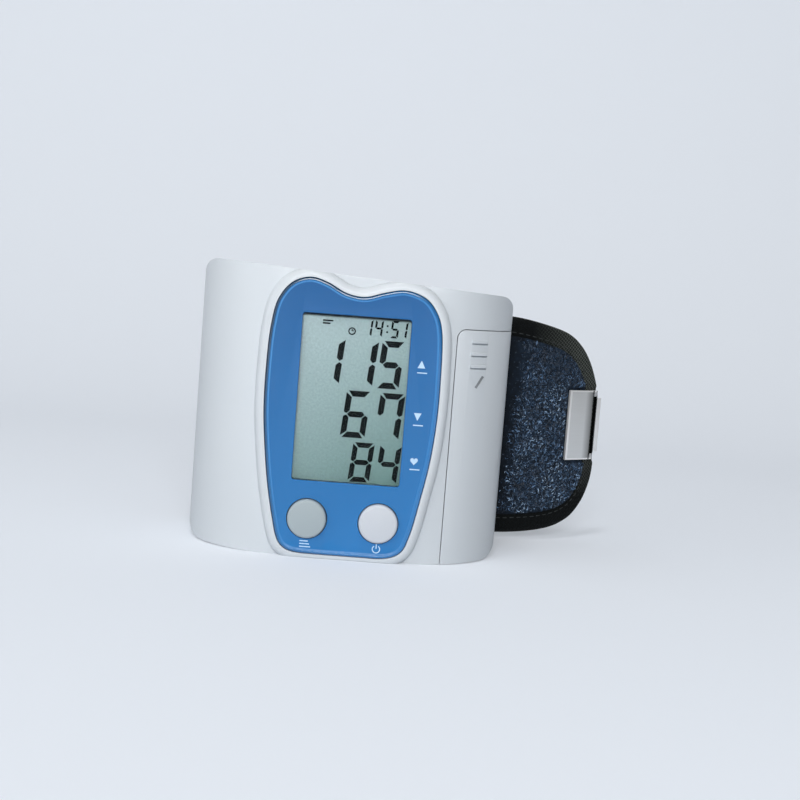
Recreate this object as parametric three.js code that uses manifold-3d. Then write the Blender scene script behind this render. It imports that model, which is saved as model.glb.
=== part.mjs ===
// A wrist blood pressure monitor, in millimetres, +Z up.
// It stands on the flat lower end of its housing. X runs to the wearer's right of the
// display, the display looks towards -Y, and the wrist passes through behind it along Z.
import * as THREE from "three";
import { mergeVertices } from "three/addons/utils/BufferGeometryUtils.js";
import Module from "manifold-3d";

const wasm = await Module();
wasm.setup();

// Driving sizes. Depths count from the housing's flat front face, towards the wrist.
const fit = { gap: 0.3, slide: 0.3, overrun: 8, merge: 0.0001 };
const housing = {
  width: 82, height: 71, topFallShare: 0.0585, flatWidth: 36, sideDepth: 24, rearDepth: 37,
  frontCorner: 4.5, rearCorner: 3, innerCorner: 1.2, wall: 2,
  wristRadius: 45, wristDepth: 21, partingDepth: 24, standDepth: 10,
};
const face = {
  width: 43.4, topMargin: 0.7, footHeight: 1.4, thickness: 1.7, seatDepth: -0.8, edge: 0.45, fit: 0.15,
  collarWidth: 1.9, collarRound: 1.1, collarRootDepth: 1.9,
};
const display = {
  width: 27, topMargin: 10, buttonMargin: 9.6, corner: 0.7, windowMargin: 1, windowThickness: 1,
  apertureMargin: 0.3, panelThickness: 1.8, panelGap: 0.2, holderMargin: 2, holderThickness: 1.3,
  plinthInset: 0.4, skirtWall: 1.5, stripWidth: 24, stripHeight: 2, stripRise: 2.2,
};
const button = {
  spread: 17.9, centreHeight: 10, radius: 4.9, bore: 0.25, proud: 0.9, dome: 0.5, flangeRadius: 5.7,
  flangeThickness: 1, stemRadius: 2, stemGap: 1.1, matWidth: 28, matHeight: 10.5, matThickness: 0.6,
  domeRadius: 3, domeHeight: 0.3,
};
const board = {
  depth: 7.4, thickness: 1.2, width: 42, topMargin: 4.9, waistWidth: 28.8, waistCut: 6.2, bottomGap: 2.6,
  chipWidth: 12, chipThickness: 1.6, chipX: -4, chipHeight: 42,
};
const air = {
  axisDepth: 12.6, axisHeight: 46, nozzleRadius: 1.5, tubeRadius: 2, tubeBore: 1.2, nozzle: 3,
  sensorX: 12, sensorWidth: 8, sensorThickness: 5.2, blockX: -8.5, blockWidth: 7, blockHeight: 8,
  blockThickness: 4.2, portRadius: 2.1,
};
const pump = {
  x: -30, depth: 20.5, motorRadius: 6.5, motorLength: 20, motorBase: 6, shaftBore: 1.3, shaftRadius: 1,
  shaftSink: 6, crankRadius: 3, crankThrow: 1, crankLength: 4.4, headRadius: 6.5, headLength: 12,
  nozzleRise: 4, ribThickness: 2, ribDepth: 20.5,
};
const valve = {
  width: 9, length: 12, topMargin: 7, plungerRadius: 1.5, plungerBore: 1.9, boreDepth: 6, plungerLength: 7.5,
  plungerSink: 5,
};
const cell = {
  radius: 5.25, length: 43.7, nubRadius: 1.9, nubLength: 0.8, frontX: 28.3, frontDepth: 12.6,
  rearX: 33.6, rearDepth: 24.6, room: 0.35,
};
const tray = {
  wallX: 22.6, base: 3.2, endWall: 1.6, backWall: 3.2, springRoom: 3.8, springRadius: 3, springTip: 2,
  springWire: 0.3, springTurns: 2, plate: 0.4, plateWidth: 7.4,
};
const door = {
  edgeX: 25.4, base: 0.4, topMargin: 11.2, corner: 2.2, skin: 1.6, rearMargin: 6, ribs: 3,
  ribStart: 29.6, ribWidth: 4.1, ribThickness: 0.9, ribRise: 0.45, ribStep: 3.1, ribFromTop: 2.75,
  tongueFront: 13.5, tongueWidth: 5.5, tongueLength: 2.6, tongueRoot: 3, tongueThickness: 1,
};
const screw = {
  spread: 36.6, bottomHeight: 6, topMargin: 6.3, bossRadius: 2.6, rearBossRadius: 2.9, meetDepth: 17,
  seatWall: 1.6, headRadius: 2, headThickness: 1.6, shankRadius: 1, shankLength: 9, bore: 1.3,
};
const cuff = {
  base: 4.2, height: 59.4, formerThickness: 1.2, formerInset: 2, formerInsetAngle: 2.87,
  bladderThickness: 1.9, bladderInset: 5, bladderInsetAngle: 5.87, padThickness: 5, padInsetAngle: 1.87,
  padEdgeShare: 0.45,
};
const rightFlap = {
  thickness: 3.2, length: 45.6, startHeading: 4, endHeading: 43, tipCorner: 19, tipRun: 18.5,
  pileMargin: 5.4, pileStart: 8, pileThickness: 1,
};
const leftFlap = { thickness: 4.4, radius: 28, sweep: 97, fullShare: 0.5 };
const strap = { thickness: 1.8, width: 16, sweep: 104, patchSweep: 44, patchThickness: 1, patchMargin: 0.6 };
const clamp = {
  height: 20.2, length: 11.6, drop: 0.6, sheet: 0.8, grip: 2.4, rollHeight: 15.8, barRadius: 0.7,
  barClearance: 0.3,
};
const loop = { slot: 2.2, corner: 1, restTurn: 50 };

// Derived places that several pieces share.
const turn = 2 * Math.PI;
const quarter = turn / 4;
const halfWidth = housing.width / 2;
const wristCentre = housing.wristDepth + housing.wristRadius;
const faceFront = face.seatDepth - face.thickness;
const faceHeight = housing.height - face.topMargin - face.footHeight;
const displayLow = button.centreHeight + display.buttonMargin;
const displayHeight = housing.height - display.topMargin - displayLow;
const doorTop = housing.height - door.topMargin;
const doorRear = housing.rearDepth - door.rearMargin;
const valveBase = housing.height - valve.topMargin - valve.length;
const boardBack = board.depth + board.thickness;
const cuffTop = cuff.base + cuff.height;
const cuffMiddle = cuff.base + cuff.height / 2;
const clampMiddle = cuffMiddle - clamp.drop;
const formerOuter = housing.wristRadius - fit.gap;
const bladderOuter = formerOuter - cuff.formerThickness - fit.gap;
const padOuter = bladderOuter - cuff.bladderThickness - fit.gap;
const padInner = padOuter - cuff.padThickness;
const rimAngle = (Math.acos((wristCentre - housing.rearDepth) / housing.wristRadius) * 360) / turn;
const padHalfAngle = rimAngle - cuff.padInsetAngle;
const counts = {
  frontSteps: 10, cornerSteps: 4, wristSteps: 18, wristRoundSteps: 64, roundSteps: 18, smallSteps: 10,
  tubeSteps: 8, wireSteps: 5, faceSteps: 60, domeSteps: 5, bendSteps: 12, bandSteps: 18, noseSteps: 4,
  tongueSteps: 14, tipSteps: 8, tabSteps: 4, gripSteps: 5,
};

const radians = (degrees) => (degrees * turn) / 360;
const point = (x, y) => new THREE.Vector2(x, y);

// Materials, with the colours of the finished surfaces.
const finish = (color, roughness, metalness = 0) =>
  new THREE.MeshStandardMaterial({ color, roughness, metalness });
const clearFinish = (color, roughness, opacity) =>
  new THREE.MeshStandardMaterial({ color, roughness, opacity, transparent: true });
const finishes = {
  shell: finish(0xc9cfd4, 0.5),
  blue: finish(0x3f7ebe, 0.25),
  window: clearFinish(0xdfe8ea, 0.05, 0.3),
  display: finish(0x9db8b2, 0.2),
  greyButton: finish(0xa9b6bc, 0.4),
  paleButton: finish(0xccd4dc, 0.4),
  silicone: finish(0xb9bfc4, 0.8),
  innerPlastic: finish(0x8d9297, 0.6),
  board: finish(0x1f6b46, 0.4),
  chip: finish(0x1c1e20, 0.5),
  motor: finish(0xb4b8bb, 0.3, 0.9),
  pumpBlack: finish(0x26282b, 0.55),
  tube: finish(0xd9dcd2, 0.5),
  cellJacket: finish(0x2b6f73, 0.35),
  contact: finish(0xc9ccce, 0.3, 1),
  screw: finish(0x9a9da0, 0.35, 1),
  former: finish(0x55595e, 0.6),
  bladder: finish(0x9fa6ab, 0.7),
  cloth: finish(0x111719, 0.95),
  pile: finish(0x1f2e44, 1),
  metal: finish(0xaeb2b5, 0.3, 1),
};

// Solids from closed geometries, and geometries from solids.
function solid(geometry) {
  const bare = geometry.index ? geometry.toNonIndexed() : geometry.clone();
  bare.deleteAttribute("normal");
  bare.deleteAttribute("uv");
  const merged = mergeVertices(bare, fit.merge);
  return new wasm.Manifold(
    new wasm.Mesh({
      numProp: 3,
      vertProperties: merged.attributes.position.array,
      triVerts: new Uint32Array(merged.index.array),
    }),
  );
}

function geometryOf(body) {
  const mesh = body.getMesh();
  const geometry = new THREE.BufferGeometry();
  geometry.setAttribute("position", new THREE.BufferAttribute(mesh.vertProperties, 3));
  geometry.setIndex(new THREE.BufferAttribute(mesh.triVerts, 1));
  geometry.computeVertexNormals();
  return geometry;
}

const joined = (first, ...others) => others.reduce((sum, other) => sum.add(other), first);
const cut = (first, ...others) => others.reduce((rest, other) => rest.subtract(other), first);

// An outline in X and Y, raised along Z from low to high.
function column(outline, low, high) {
  const settings = { depth: high - low, bevelEnabled: false };
  const geometry = new THREE.ExtrudeGeometry(new THREE.Shape(outline), settings);
  geometry.translate(0, 0, low);
  return solid(geometry);
}

// An outline in X and Z, run along Y from front to back, its edges rounded by edge.
function panel(outline, front, back, edge = 0) {
  const settings = {
    depth: back - front - 2 * edge,
    bevelEnabled: edge > 0,
    bevelThickness: edge,
    bevelSize: edge,
    bevelOffset: -edge,
    bevelSegments: 3,
  };
  const geometry = new THREE.ExtrudeGeometry(new THREE.Shape(outline), settings);
  geometry.rotateX(quarter);
  geometry.translate(0, back - edge, 0);
  return solid(geometry);
}

function block(x, y, z) {
  const geometry = new THREE.BoxGeometry(x[1] - x[0], y[1] - y[0], z[1] - z[0]);
  geometry.translate((x[0] + x[1]) / 2, (y[0] + y[1]) / 2, (z[0] + z[1]) / 2);
  return solid(geometry);
}

// Round bars along Z, Y and X between two ends.
function barZ(radius, low, high, x, y, sides = counts.roundSteps) {
  const geometry = new THREE.CylinderGeometry(radius, radius, high - low, sides);
  geometry.rotateX(quarter);
  geometry.translate(x, y, (low + high) / 2);
  return solid(geometry);
}

function barY(radius, front, back, x, z, sides = counts.roundSteps) {
  const geometry = new THREE.CylinderGeometry(radius, radius, back - front, sides);
  geometry.translate(x, (front + back) / 2, z);
  return solid(geometry);
}

function barX(radius, left, right, y, z, sides = counts.smallSteps) {
  const geometry = new THREE.CylinderGeometry(radius, radius, right - left, sides);
  geometry.rotateZ(quarter);
  geometry.translate((left + right) / 2, y, z);
  return solid(geometry);
}

// A turned body about a line along Y, from pairs of radius and depth.
function turnedY(profile, x, z) {
  const geometry = new THREE.LatheGeometry(profile.map(([r, y]) => point(r, y)), counts.roundSteps);
  geometry.translate(x, 0, z);
  return solid(geometry);
}

// Points on an arc of an ellipse, from one angle to another.
function arc(cx, cy, rx, ry, from, to, count) {
  return Array.from({ length: count + 1 }, (_, i) => {
    const angle = from + ((to - from) * i) / count;
    return point(cx + rx * Math.cos(angle), cy + ry * Math.sin(angle));
  });
}

const circle = (radius, count) => arc(0, 0, radius, radius, 0, turn, count).slice(0, -1);

// A polygon with its corners rounded by one radius.
function rounded(corners, radius) {
  const last = corners.length;
  return corners.flatMap((corner, i) => {
    const back = corners[(i + last - 1) % last].clone().sub(corner).normalize();
    const on = corners[(i + 1) % last].clone().sub(corner).normalize();
    const half = Math.acos(back.dot(on)) / 2;
    const middle = back.clone().add(on).normalize();
    const centre = corner.clone().add(middle.multiplyScalar(radius / Math.sin(half)));
    const start = corner.clone().add(back.multiplyScalar(radius / Math.tan(half))).sub(centre);
    const end = corner.clone().add(on.multiplyScalar(radius / Math.tan(half))).sub(centre);
    const sweep = Math.atan2(start.cross(end), start.dot(end));
    const from = start.angle();
    return arc(centre.x, centre.y, radius, radius, from, from + sweep, counts.cornerSteps);
  });
}

const rectangle = (left, right, low, high) =>
  [point(left, low), point(right, low), point(right, high), point(left, high)];

// A closed outline moved outwards by a distance, point by point.
function grown(outline, distance) {
  const last = outline.length;
  return outline.map((at, i) => {
    const before = outline[(i + last - 1) % last];
    const after = outline[(i + 1) % last];
    const along = after.clone().sub(before).normalize();
    return point(at.x + along.y * distance, at.y - along.x * distance);
  });
}

// The housing seen from above, drawn in by inset all round, without the hollow for the wrist.
function housingOutline(inset, corner) {
  const side = halfWidth - inset;
  const rear = housing.rearDepth - inset;
  const flat = housing.flatWidth / 2;
  const depth = housing.sideDepth;
  const front = arc(flat, depth, side - flat, depth - inset, -quarter, 0, counts.frontSteps);
  const back = arc(side - corner, rear - corner, corner, corner, 0, quarter, counts.cornerSteps);
  const right = [...front, ...back];
  const left = right.map((at) => point(-at.x, at.y)).reverse();
  return [...right, ...left];
}

// The housing seen from the front: the top edge falls a little to the right.
function frontOutline(inset) {
  const side = halfWidth - inset;
  const top = (x) => housing.height - inset - housing.topFallShare * x;
  const corners = [point(-side, inset), point(side, inset), point(side, top(side)), point(-side, top(-side))];
  return rounded(corners, housing.frontCorner - inset);
}

// The face plate's outline: two unequal humps at the top, tapering to a round foot.
// Each pair is a share of the half width and of the height above the foot.
const faceShares = [
  [0.0, 0.0], [0.5, 0.0], [0.74, 0.036], [0.79, 0.081], [0.876, 0.206], [0.954, 0.356], [0.993, 0.51],
  [1.0, 0.648], [0.968, 0.845], [0.9, 0.905], [0.77, 0.952], [0.53, 0.976], [0.3, 0.963], [0.07, 0.942],
  [-0.14, 0.951], [-0.36, 0.985], [-0.557, 1.0], [-0.76, 0.978], [-0.91, 0.915], [-0.974, 0.82],
  [-0.998, 0.672], [-0.993, 0.52], [-0.956, 0.392], [-0.887, 0.238], [-0.79, 0.094], [-0.74, 0.04],
  [-0.5, 0.0],
];

function faceOutline() {
  const places = faceShares.map(([x, z]) =>
    new THREE.Vector3((x * face.width) / 2, face.footHeight + z * faceHeight, 0));
  const curve = new THREE.CatmullRomCurve3(places, true, "centripetal");
  return curve.getSpacedPoints(counts.faceSteps).slice(0, -1).map((at) => point(at.x, at.y));
}

function displayOutline(margin) {
  const halfSide = display.width / 2 + margin;
  const corners = rectangle(-halfSide, halfSide, displayLow - margin, displayLow + displayHeight + margin);
  return rounded(corners, display.corner);
}

const buttonPlaces = [-button.spread / 2, button.spread / 2];
const screwPlaces = [-1, 1].flatMap((side) =>
  [screw.bottomHeight, housing.height - screw.topMargin].map((height) =>
    [(side * screw.spread) / 2, height]));
const everyHeight = [-fit.overrun, housing.height + fit.overrun];

// The room inside an outline of the housing, over its whole height.
function housingBody(inset, corner) {
  const tall = column(housingOutline(inset, corner), ...everyHeight);
  const whole = tall.intersect(panel(frontOutline(inset), -fit.overrun, housing.rearDepth + fit.overrun));
  return whole.subtract(wristRound(housing.wristRadius + inset));
}

function skinOutside(inset) {
  const wide = [-housing.width, housing.width];
  const deep = [-fit.overrun, housing.rearDepth + fit.overrun];
  const corner = Math.max(housing.rearCorner - inset, housing.innerCorner);
  const tall = column(housingOutline(inset, corner), ...everyHeight);
  return block(wide, deep, everyHeight).subtract(tall).add(wristRound(housing.wristRadius + inset));
}

// The region of the door, seen from the front, grown by a clearance.
function doorRegion(clearance) {
  const low = door.base - clearance - (clearance > 0 ? fit.overrun : 0);
  const outline = rounded(
    rectangle(door.edgeX - clearance, housing.width, low, doorTop + clearance),
    door.corner,
  );
  const region = panel(outline, -fit.overrun, doorRear + clearance);
  return region.subtract(wristRound(housing.wristRadius + 2 * housing.wall));
}

function tongueWay(clearance, low, high) {
  const deep = [door.tongueFront - clearance, door.tongueFront + door.tongueWidth + clearance];
  return block([cell.rearX, housing.width], deep, [low, high]);
}

const tongueDepth = housing.wall + fit.slide;
const tongueBack = tongueDepth + door.tongueThickness;

function shellBody() {
  return housingBody(0, housing.rearCorner).subtract(housingBody(housing.wall, housing.innerCorner));
}

function wristRound(radius) {
  const outline = arc(0, wristCentre, radius, radius, 0, turn, counts.wristRoundSteps).slice(0, -1);
  return column(outline, ...everyHeight);
}

function beforeParting(radius) {
  const ahead = block([-housing.width, housing.width], [-2 * fit.overrun, housing.partingDepth], everyHeight);
  return ahead.subtract(wristRound(radius));
}

function collar() {
  const outline = grown(faceOutline(), face.collarWidth);
  const ring = panel(outline, faceFront, face.collarRootDepth, face.collarRound);
  return ring.intersect(panel(frontOutline(0), -fit.overrun, housing.rearDepth));
}

function frontHousing() {
  const bosses = screwPlaces.map(([x, z]) =>
    barY(screw.bossRadius, housing.wall / 2, screw.meetDepth, x, z));
  const bores = screwPlaces.map(([x, z]) =>
    barY(screw.bore, housing.wall, screw.meetDepth + fit.overrun, x, z, counts.smallSteps));
  const pocket = panel(grown(faceOutline(), face.fit), -fit.overrun, face.seatDepth);
  const aperture = panel(displayOutline(display.apertureMargin), -fit.overrun, 2 * housing.wall);
  const keyHoles = buttonPlaces.map((x) =>
    barY(button.radius + button.bore, -fit.overrun, 2 * housing.wall, x, button.centreHeight));
  const doorCut = skinOutside(housing.wall).intersect(doorRegion(fit.slide));
  const way = skinOutside(tongueBack + fit.slide).intersect(
    tongueWay(fit.slide, -fit.overrun, doorTop + fit.slide));
  const shell = shellBody().intersect(beforeParting(housing.wristRadius + housing.wall + fit.gap));
  return cut(joined(shell, collar(), ...bosses), pocket, aperture, ...keyHoles, ...bores, doorCut, way);
}

// Ribs on the rear housing that hold the pump and the valve.
function pumpRibs() {
  const levels = [
    pump.motorBase + fit.gap, pump.motorBase + pump.motorLength - pump.ribThickness - fit.gap,
    headBase + fit.gap, valveBase + fit.gap, valveBase + valve.length - pump.ribThickness - fit.gap,
  ];
  const room = (inset, front) =>
    housingBody(inset, housing.innerCorner).intersect(
      block([-housing.width, pump.x + valve.width], [front, housing.rearDepth], everyHeight));
  const area = room(housing.wall, housing.partingDepth + fit.gap).add(
    room(housing.wall + fit.gap, pump.ribDepth));
  const plates = levels.map((low) =>
    block([-housing.width, 0], [0, housing.rearDepth], [low, low + pump.ribThickness]));
  return joined(...plates).intersect(area);
}

function rearHousing() {
  const bosses = screwPlaces.map(([x, z]) =>
    barY(screw.rearBossRadius, screw.meetDepth, housing.rearDepth, x, z));
  const bores = screwPlaces.map(([x, z]) =>
    barY(screw.bore, 0, housing.rearDepth, x, z, counts.smallSteps));
  const sinks = screwPlaces.map(([x, z]) =>
    barY(screw.headRadius + fit.gap, screw.meetDepth + screw.seatWall, housing.rearDepth, x, z));
  const port = barY(air.portRadius + fit.gap, 0, housing.rearDepth, air.blockX, air.axisHeight);
  const behind = shellBody().subtract(beforeParting(housing.wristRadius + housing.wall));
  const room = fit.gap;
  const motorRoom = barZ(pump.motorRadius + room, 0, valveBase - room, pump.x, pump.depth);
  const valveHalf = valve.width / 2 + room;
  const valveRoom = block(
    [pump.x - valveHalf, pump.x + valveHalf], [pump.depth - valveHalf, pump.depth + valveHalf],
    [valveBase - room, housing.height]);
  const doorCut = skinOutside(housing.wall).intersect(doorRegion(fit.slide));
  const body = joined(behind, pumpRibs(), ...bosses);
  return cut(body, wristRound(housing.wristRadius), ...bores, ...sinks, port, motorRoom, valveRoom, doorCut);
}

function facePlate() {
  const outline = faceOutline();
  const plate = panel(outline, faceFront, face.seatDepth, face.edge);
  const sight = panel(displayOutline(0), -fit.overrun, housing.wall);
  const rebateDepth = face.seatDepth - display.windowThickness - face.fit;
  const rebate = panel(displayOutline(display.windowMargin + face.fit), rebateDepth, housing.wall);
  const holes = buttonPlaces.map((x) =>
    barY(button.radius + button.bore, -fit.overrun, housing.wall, x, button.centreHeight));
  return cut(plate, sight, rebate, ...holes);
}

function displayWindow() {
  const front = face.seatDepth - display.windowThickness;
  return panel(displayOutline(display.windowMargin), front, face.seatDepth);
}

const panelFront = face.seatDepth + display.panelGap;
const panelBack = panelFront + display.panelThickness;

function lcdPanel() {
  return panel(displayOutline(0), panelFront, panelBack);
}

function stripBody(clearance, front = panelBack, back = board.depth) {
  const halfSide = display.stripWidth / 2 + clearance;
  const low = displayLow + display.stripRise;
  return block(
    [-halfSide, halfSide], [front, back],
    [low - clearance, low + display.stripHeight + clearance]);
}

function lcdHolder() {
  const plateBack = housing.wall + display.holderThickness;
  const plinth = panel(displayOutline(-display.plinthInset), panelBack, plateBack);
  const body = panel(displayOutline(display.holderMargin), housing.wall, board.depth);
  const inside = displayOutline(display.holderMargin - display.skirtWall);
  const hollow = panel(inside, plateBack, board.depth + fit.overrun);
  return cut(body.add(plinth), hollow, stripBody(fit.gap, 0, board.depth + fit.overrun));
}

function pushButton(x) {
  const top = faceFront - button.proud;
  const flangeFront = housing.wall + fit.gap;
  const flangeBack = flangeFront + button.flangeThickness;
  const stemEnd = board.depth - button.matThickness - button.domeHeight - button.stemGap;
  const dome = Array.from({ length: counts.domeSteps + 1 }, (_, i) => {
    const share = i / counts.domeSteps;
    return [button.radius * Math.sin(share * quarter), top - button.dome * Math.cos(share * quarter)];
  });
  const profile = [
    ...dome, [button.radius, flangeFront], [button.flangeRadius, flangeFront],
    [button.flangeRadius, flangeBack], [button.stemRadius, flangeBack], [button.stemRadius, stemEnd],
    [0, stemEnd],
  ];
  return turnedY(profile, x, button.centreHeight);
}

function keyMat() {
  const back = board.depth;
  const front = back - button.matThickness;
  const low = button.centreHeight - button.matHeight / 2;
  const half = button.matWidth / 2;
  const sheet = block([-half, half], [front, back], [low, low + button.matHeight]);
  const domes = buttonPlaces.map((x) =>
    barY(button.domeRadius, front - button.domeHeight, back, x, button.centreHeight, counts.smallSteps));
  return joined(sheet, ...domes);
}

function circuitBoard() {
  const low = housing.wall + board.bottomGap;
  const high = housing.height - board.topMargin;
  const half = board.width / 2;
  const waist = board.waistWidth / 2;
  const middle = rectangle(-half, half, low + board.waistCut, high - board.waistCut);
  const ends = rectangle(-waist, waist, low, high);
  return panel(middle, board.depth, boardBack).add(panel(ends, board.depth, boardBack));
}

function mainChip() {
  const half = board.chipWidth / 2;
  return block(
    [board.chipX - half, board.chipX + half], [boardBack, boardBack + board.chipThickness],
    [board.chipHeight - half, board.chipHeight + half]);
}

function pressureSensor() {
  const half = air.sensorWidth / 2;
  const left = air.sensorX - half;
  const body = block(
    [left, air.sensorX + half], [boardBack, boardBack + air.sensorThickness],
    [air.axisHeight - half, air.axisHeight + half]);
  return body.add(barX(air.nozzleRadius, left - air.nozzle, air.sensorX, air.axisDepth, air.axisHeight));
}

const blockHalf = air.blockWidth / 2;
const blockRise = air.blockHeight / 2;

function airManifold() {
  const front = air.axisDepth - air.blockThickness / 2;
  const body = block(
    [air.blockX - blockHalf, air.blockX + blockHalf], [front, front + air.blockThickness],
    [air.axisHeight - blockRise, air.axisHeight + blockRise]);
  const spigot = barX(air.nozzleRadius, air.blockX, air.blockX + blockHalf + air.nozzle, air.axisDepth,
    air.axisHeight);
  const reach = blockRise + air.nozzle;
  const upright = barZ(air.nozzleRadius, air.axisHeight - reach, air.axisHeight + reach, air.blockX,
    air.axisDepth, counts.smallSteps);
  const across = Math.sqrt(bladderOuter ** 2 - air.blockX ** 2);
  const portEnd = wristCentre - across - 2 * fit.gap;
  const port = barY(air.portRadius, air.axisDepth, portEnd, air.blockX, air.axisHeight, counts.smallSteps);
  return joined(body, spigot, upright, port);
}

// A round tube with a bore along a smooth line through the given places.
function tubeAlong(places) {
  const curve = new THREE.CatmullRomCurve3(places.map((at) => new THREE.Vector3(...at)));
  const section = new THREE.Shape(circle(air.tubeRadius, counts.tubeSteps));
  section.holes.push(new THREE.Path(circle(air.tubeBore, counts.tubeSteps)));
  const settings = { steps: counts.bendSteps, extrudePath: curve, bevelEnabled: false };
  return solid(new THREE.ExtrudeGeometry(section, settings));
}

const pumpNozzleHeight = () => headBase + pump.nozzleRise;
const pumpTubeStart = pump.x + pump.headRadius + air.nozzle + fit.gap;
const valveTubeStart = pump.x + valve.width / 2 + air.nozzle + fit.gap;
const headBase = pump.motorBase + pump.motorLength + pump.crankLength + 2 * fit.gap;

function pumpTube() {
  const end = air.axisHeight - blockRise - air.nozzle - fit.gap;
  const start = pumpNozzleHeight();
  const dip = air.tubeRadius;
  const span = air.blockX - pumpTubeStart;
  return tubeAlong([
    [pumpTubeStart, pump.depth, start],
    [pumpTubeStart + air.tubeBore, pump.depth, start],
    [pumpTubeStart + span / 3, pump.depth - dip / 2, start - dip / 2],
    [air.blockX - span / 5, (pump.depth + 2 * air.axisDepth) / 3, Math.min(start - dip, end - 2 * dip)],
    [air.blockX, air.axisDepth, Math.min((start + end) / 2, end - dip / 2)],
    [air.blockX, air.axisDepth, end],
  ]);
}

function valveTube() {
  const end = air.axisHeight + blockRise + air.nozzle + fit.gap;
  const start = valveBase + valve.length / 2;
  const rise = air.tubeRadius;
  const span = air.blockX - valveTubeStart;
  return tubeAlong([
    [air.blockX, air.axisDepth, end],
    [air.blockX, air.axisDepth, end + rise],
    [air.blockX - span / 5, (pump.depth + 2 * air.axisDepth) / 3, Math.max(start + rise, end + 2 * rise)],
    [valveTubeStart + span / 3, pump.depth - rise / 2, start + rise / 2],
    [valveTubeStart + air.tubeBore, pump.depth, start],
    [valveTubeStart, pump.depth, start],
  ]);
}

function sensorTube() {
  const left = air.blockX + blockHalf + air.nozzle + fit.gap;
  const right = air.sensorX - air.sensorWidth / 2 - air.nozzle - fit.gap;
  const outer = barX(air.tubeRadius, left, right, air.axisDepth, air.axisHeight);
  return outer.subtract(barX(air.tubeBore, left - fit.gap, right + fit.gap, air.axisDepth, air.axisHeight));
}

function pumpMotor() {
  const top = pump.motorBase + pump.motorLength;
  const can = barZ(pump.motorRadius, pump.motorBase, top, pump.x, pump.depth);
  return can.subtract(barZ(pump.shaftBore, top - pump.shaftSink - fit.gap, top + fit.gap, pump.x, pump.depth,
    counts.smallSteps));
}

function pumpCrank() {
  const top = pump.motorBase + pump.motorLength;
  const shaft = barZ(pump.shaftRadius, top - pump.shaftSink, top + pump.crankLength / 2, pump.x, pump.depth,
    counts.smallSteps);
  const disc = barZ(pump.crankRadius, top + fit.gap, top + pump.crankLength, pump.x + pump.crankThrow,
    pump.depth);
  return shaft.add(disc);
}

function pumpHead() {
  const body = barZ(pump.headRadius, headBase, headBase + pump.headLength, pump.x, pump.depth);
  const end = pump.x + pump.headRadius + air.nozzle;
  return body.add(barX(air.nozzleRadius, pump.x, end, pump.depth, pumpNozzleHeight()));
}

function exhaustValve() {
  const half = valve.width / 2;
  const body = block(
    [pump.x - half, pump.x + half], [pump.depth - half, pump.depth + half],
    [valveBase, valveBase + valve.length]);
  const height = valveBase + valve.length / 2;
  const nozzle = barX(air.nozzleRadius, pump.x + half / 2, pump.x + half + air.nozzle, pump.depth, height);
  const bore = barZ(valve.plungerBore, valveBase - fit.gap, valveBase + valve.boreDepth, pump.x, pump.depth,
    counts.smallSteps);
  return body.add(nozzle).subtract(bore);
}

function valvePlunger() {
  const top = valveBase + valve.plungerSink;
  return barZ(valve.plungerRadius, top - valve.plungerLength, top, pump.x, pump.depth, counts.smallSteps);
}

const cells = [
  { x: cell.frontX, y: cell.frontDepth, up: true },
  { x: cell.rearX, y: cell.rearDepth, up: false },
];
const bayLow = tray.base + tray.endWall;
const bayHigh = bayLow + tray.springRoom + cell.length + cell.nubLength + tray.plate;

// The bay that the cells lie in, open towards the door.
function bayOutline() {
  const radius = cell.radius + cell.room;
  const along = point(cell.rearX - cell.frontX, cell.rearDepth - cell.frontDepth).normalize();
  const inward = Math.atan2(along.x, -along.y);
  const corner = (x, y, from) => arc(x, y, radius, radius, from, from - quarter, counts.cornerSteps);
  const around = corner(cell.rearX, cell.rearDepth, inward);
  const before = corner(cell.frontX, cell.frontDepth, inward + quarter);
  const out = point(along.y, -along.x).multiplyScalar(housing.width);
  const first = before[0].clone().add(out);
  const last = around[around.length - 1].clone().add(out);
  return [...before, ...around, last, first];
}

function batteryTray() {
  const inside = housingBody(tongueDepth, housing.innerCorner);
  const heights = [tray.base, bayHigh + tray.endWall];
  const back = cell.rearDepth + cell.radius + tray.backWall;
  const side = block([tray.wallX, housing.width], [housing.wall, back], heights);
  const low = bayLow;
  const bay = column(bayOutline(), low, bayHigh);
  const way = skinOutside(tongueBack + fit.slide).intersect(tongueWay(fit.slide, ...everyHeight));
  const deep = block([0, housing.width], [0, doorRear], everyHeight);
  const proud = skinOutside(housing.wall + fit.slide + fit.slide).intersect(deep);
  return cut(inside.intersect(side), bay, way, proud);
}

const jacketLow = (up) => bayLow + (up ? tray.springRoom : tray.plate + cell.nubLength);

function battery({ x, y, up }) {
  const low = jacketLow(up);
  const body = barZ(cell.radius, low, low + cell.length, x, y);
  const nubFrom = up ? low + cell.length / 2 : low - cell.nubLength;
  const nubLength = cell.length / 2 + cell.nubLength;
  return body.add(barZ(cell.nubRadius, nubFrom, nubFrom + nubLength, x, y, counts.smallSteps));
}

// A coil that narrows towards the cell, one unbroken wire.
class CoilLine extends THREE.Curve {
  constructor(x, y, low, high) {
    super();
    Object.assign(this, { x, y, low, high });
  }
  getPoint(share, target = new THREE.Vector3()) {
    const angle = share * tray.springTurns * turn;
    const radius = tray.springRadius + (tray.springTip - tray.springRadius) * share;
    const height = this.low + (this.high - this.low) * share;
    return target.set(this.x + radius * Math.cos(angle), this.y + radius * Math.sin(angle), height);
  }
}

// The least clear distance between one turn of the coil and the next.
function leastGap(line) {
  const oneTurn = 1 / tray.springTurns;
  const last = 1 - oneTurn;
  const places = Array.from({ length: counts.roundSteps }, (_, i) => (last * i) / (counts.roundSteps - 1));
  const gaps = places.map((share) => line.getPoint(share).distanceTo(line.getPoint(share + oneTurn)));
  return Math.min(...gaps) - 2 * tray.springWire;
}

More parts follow.
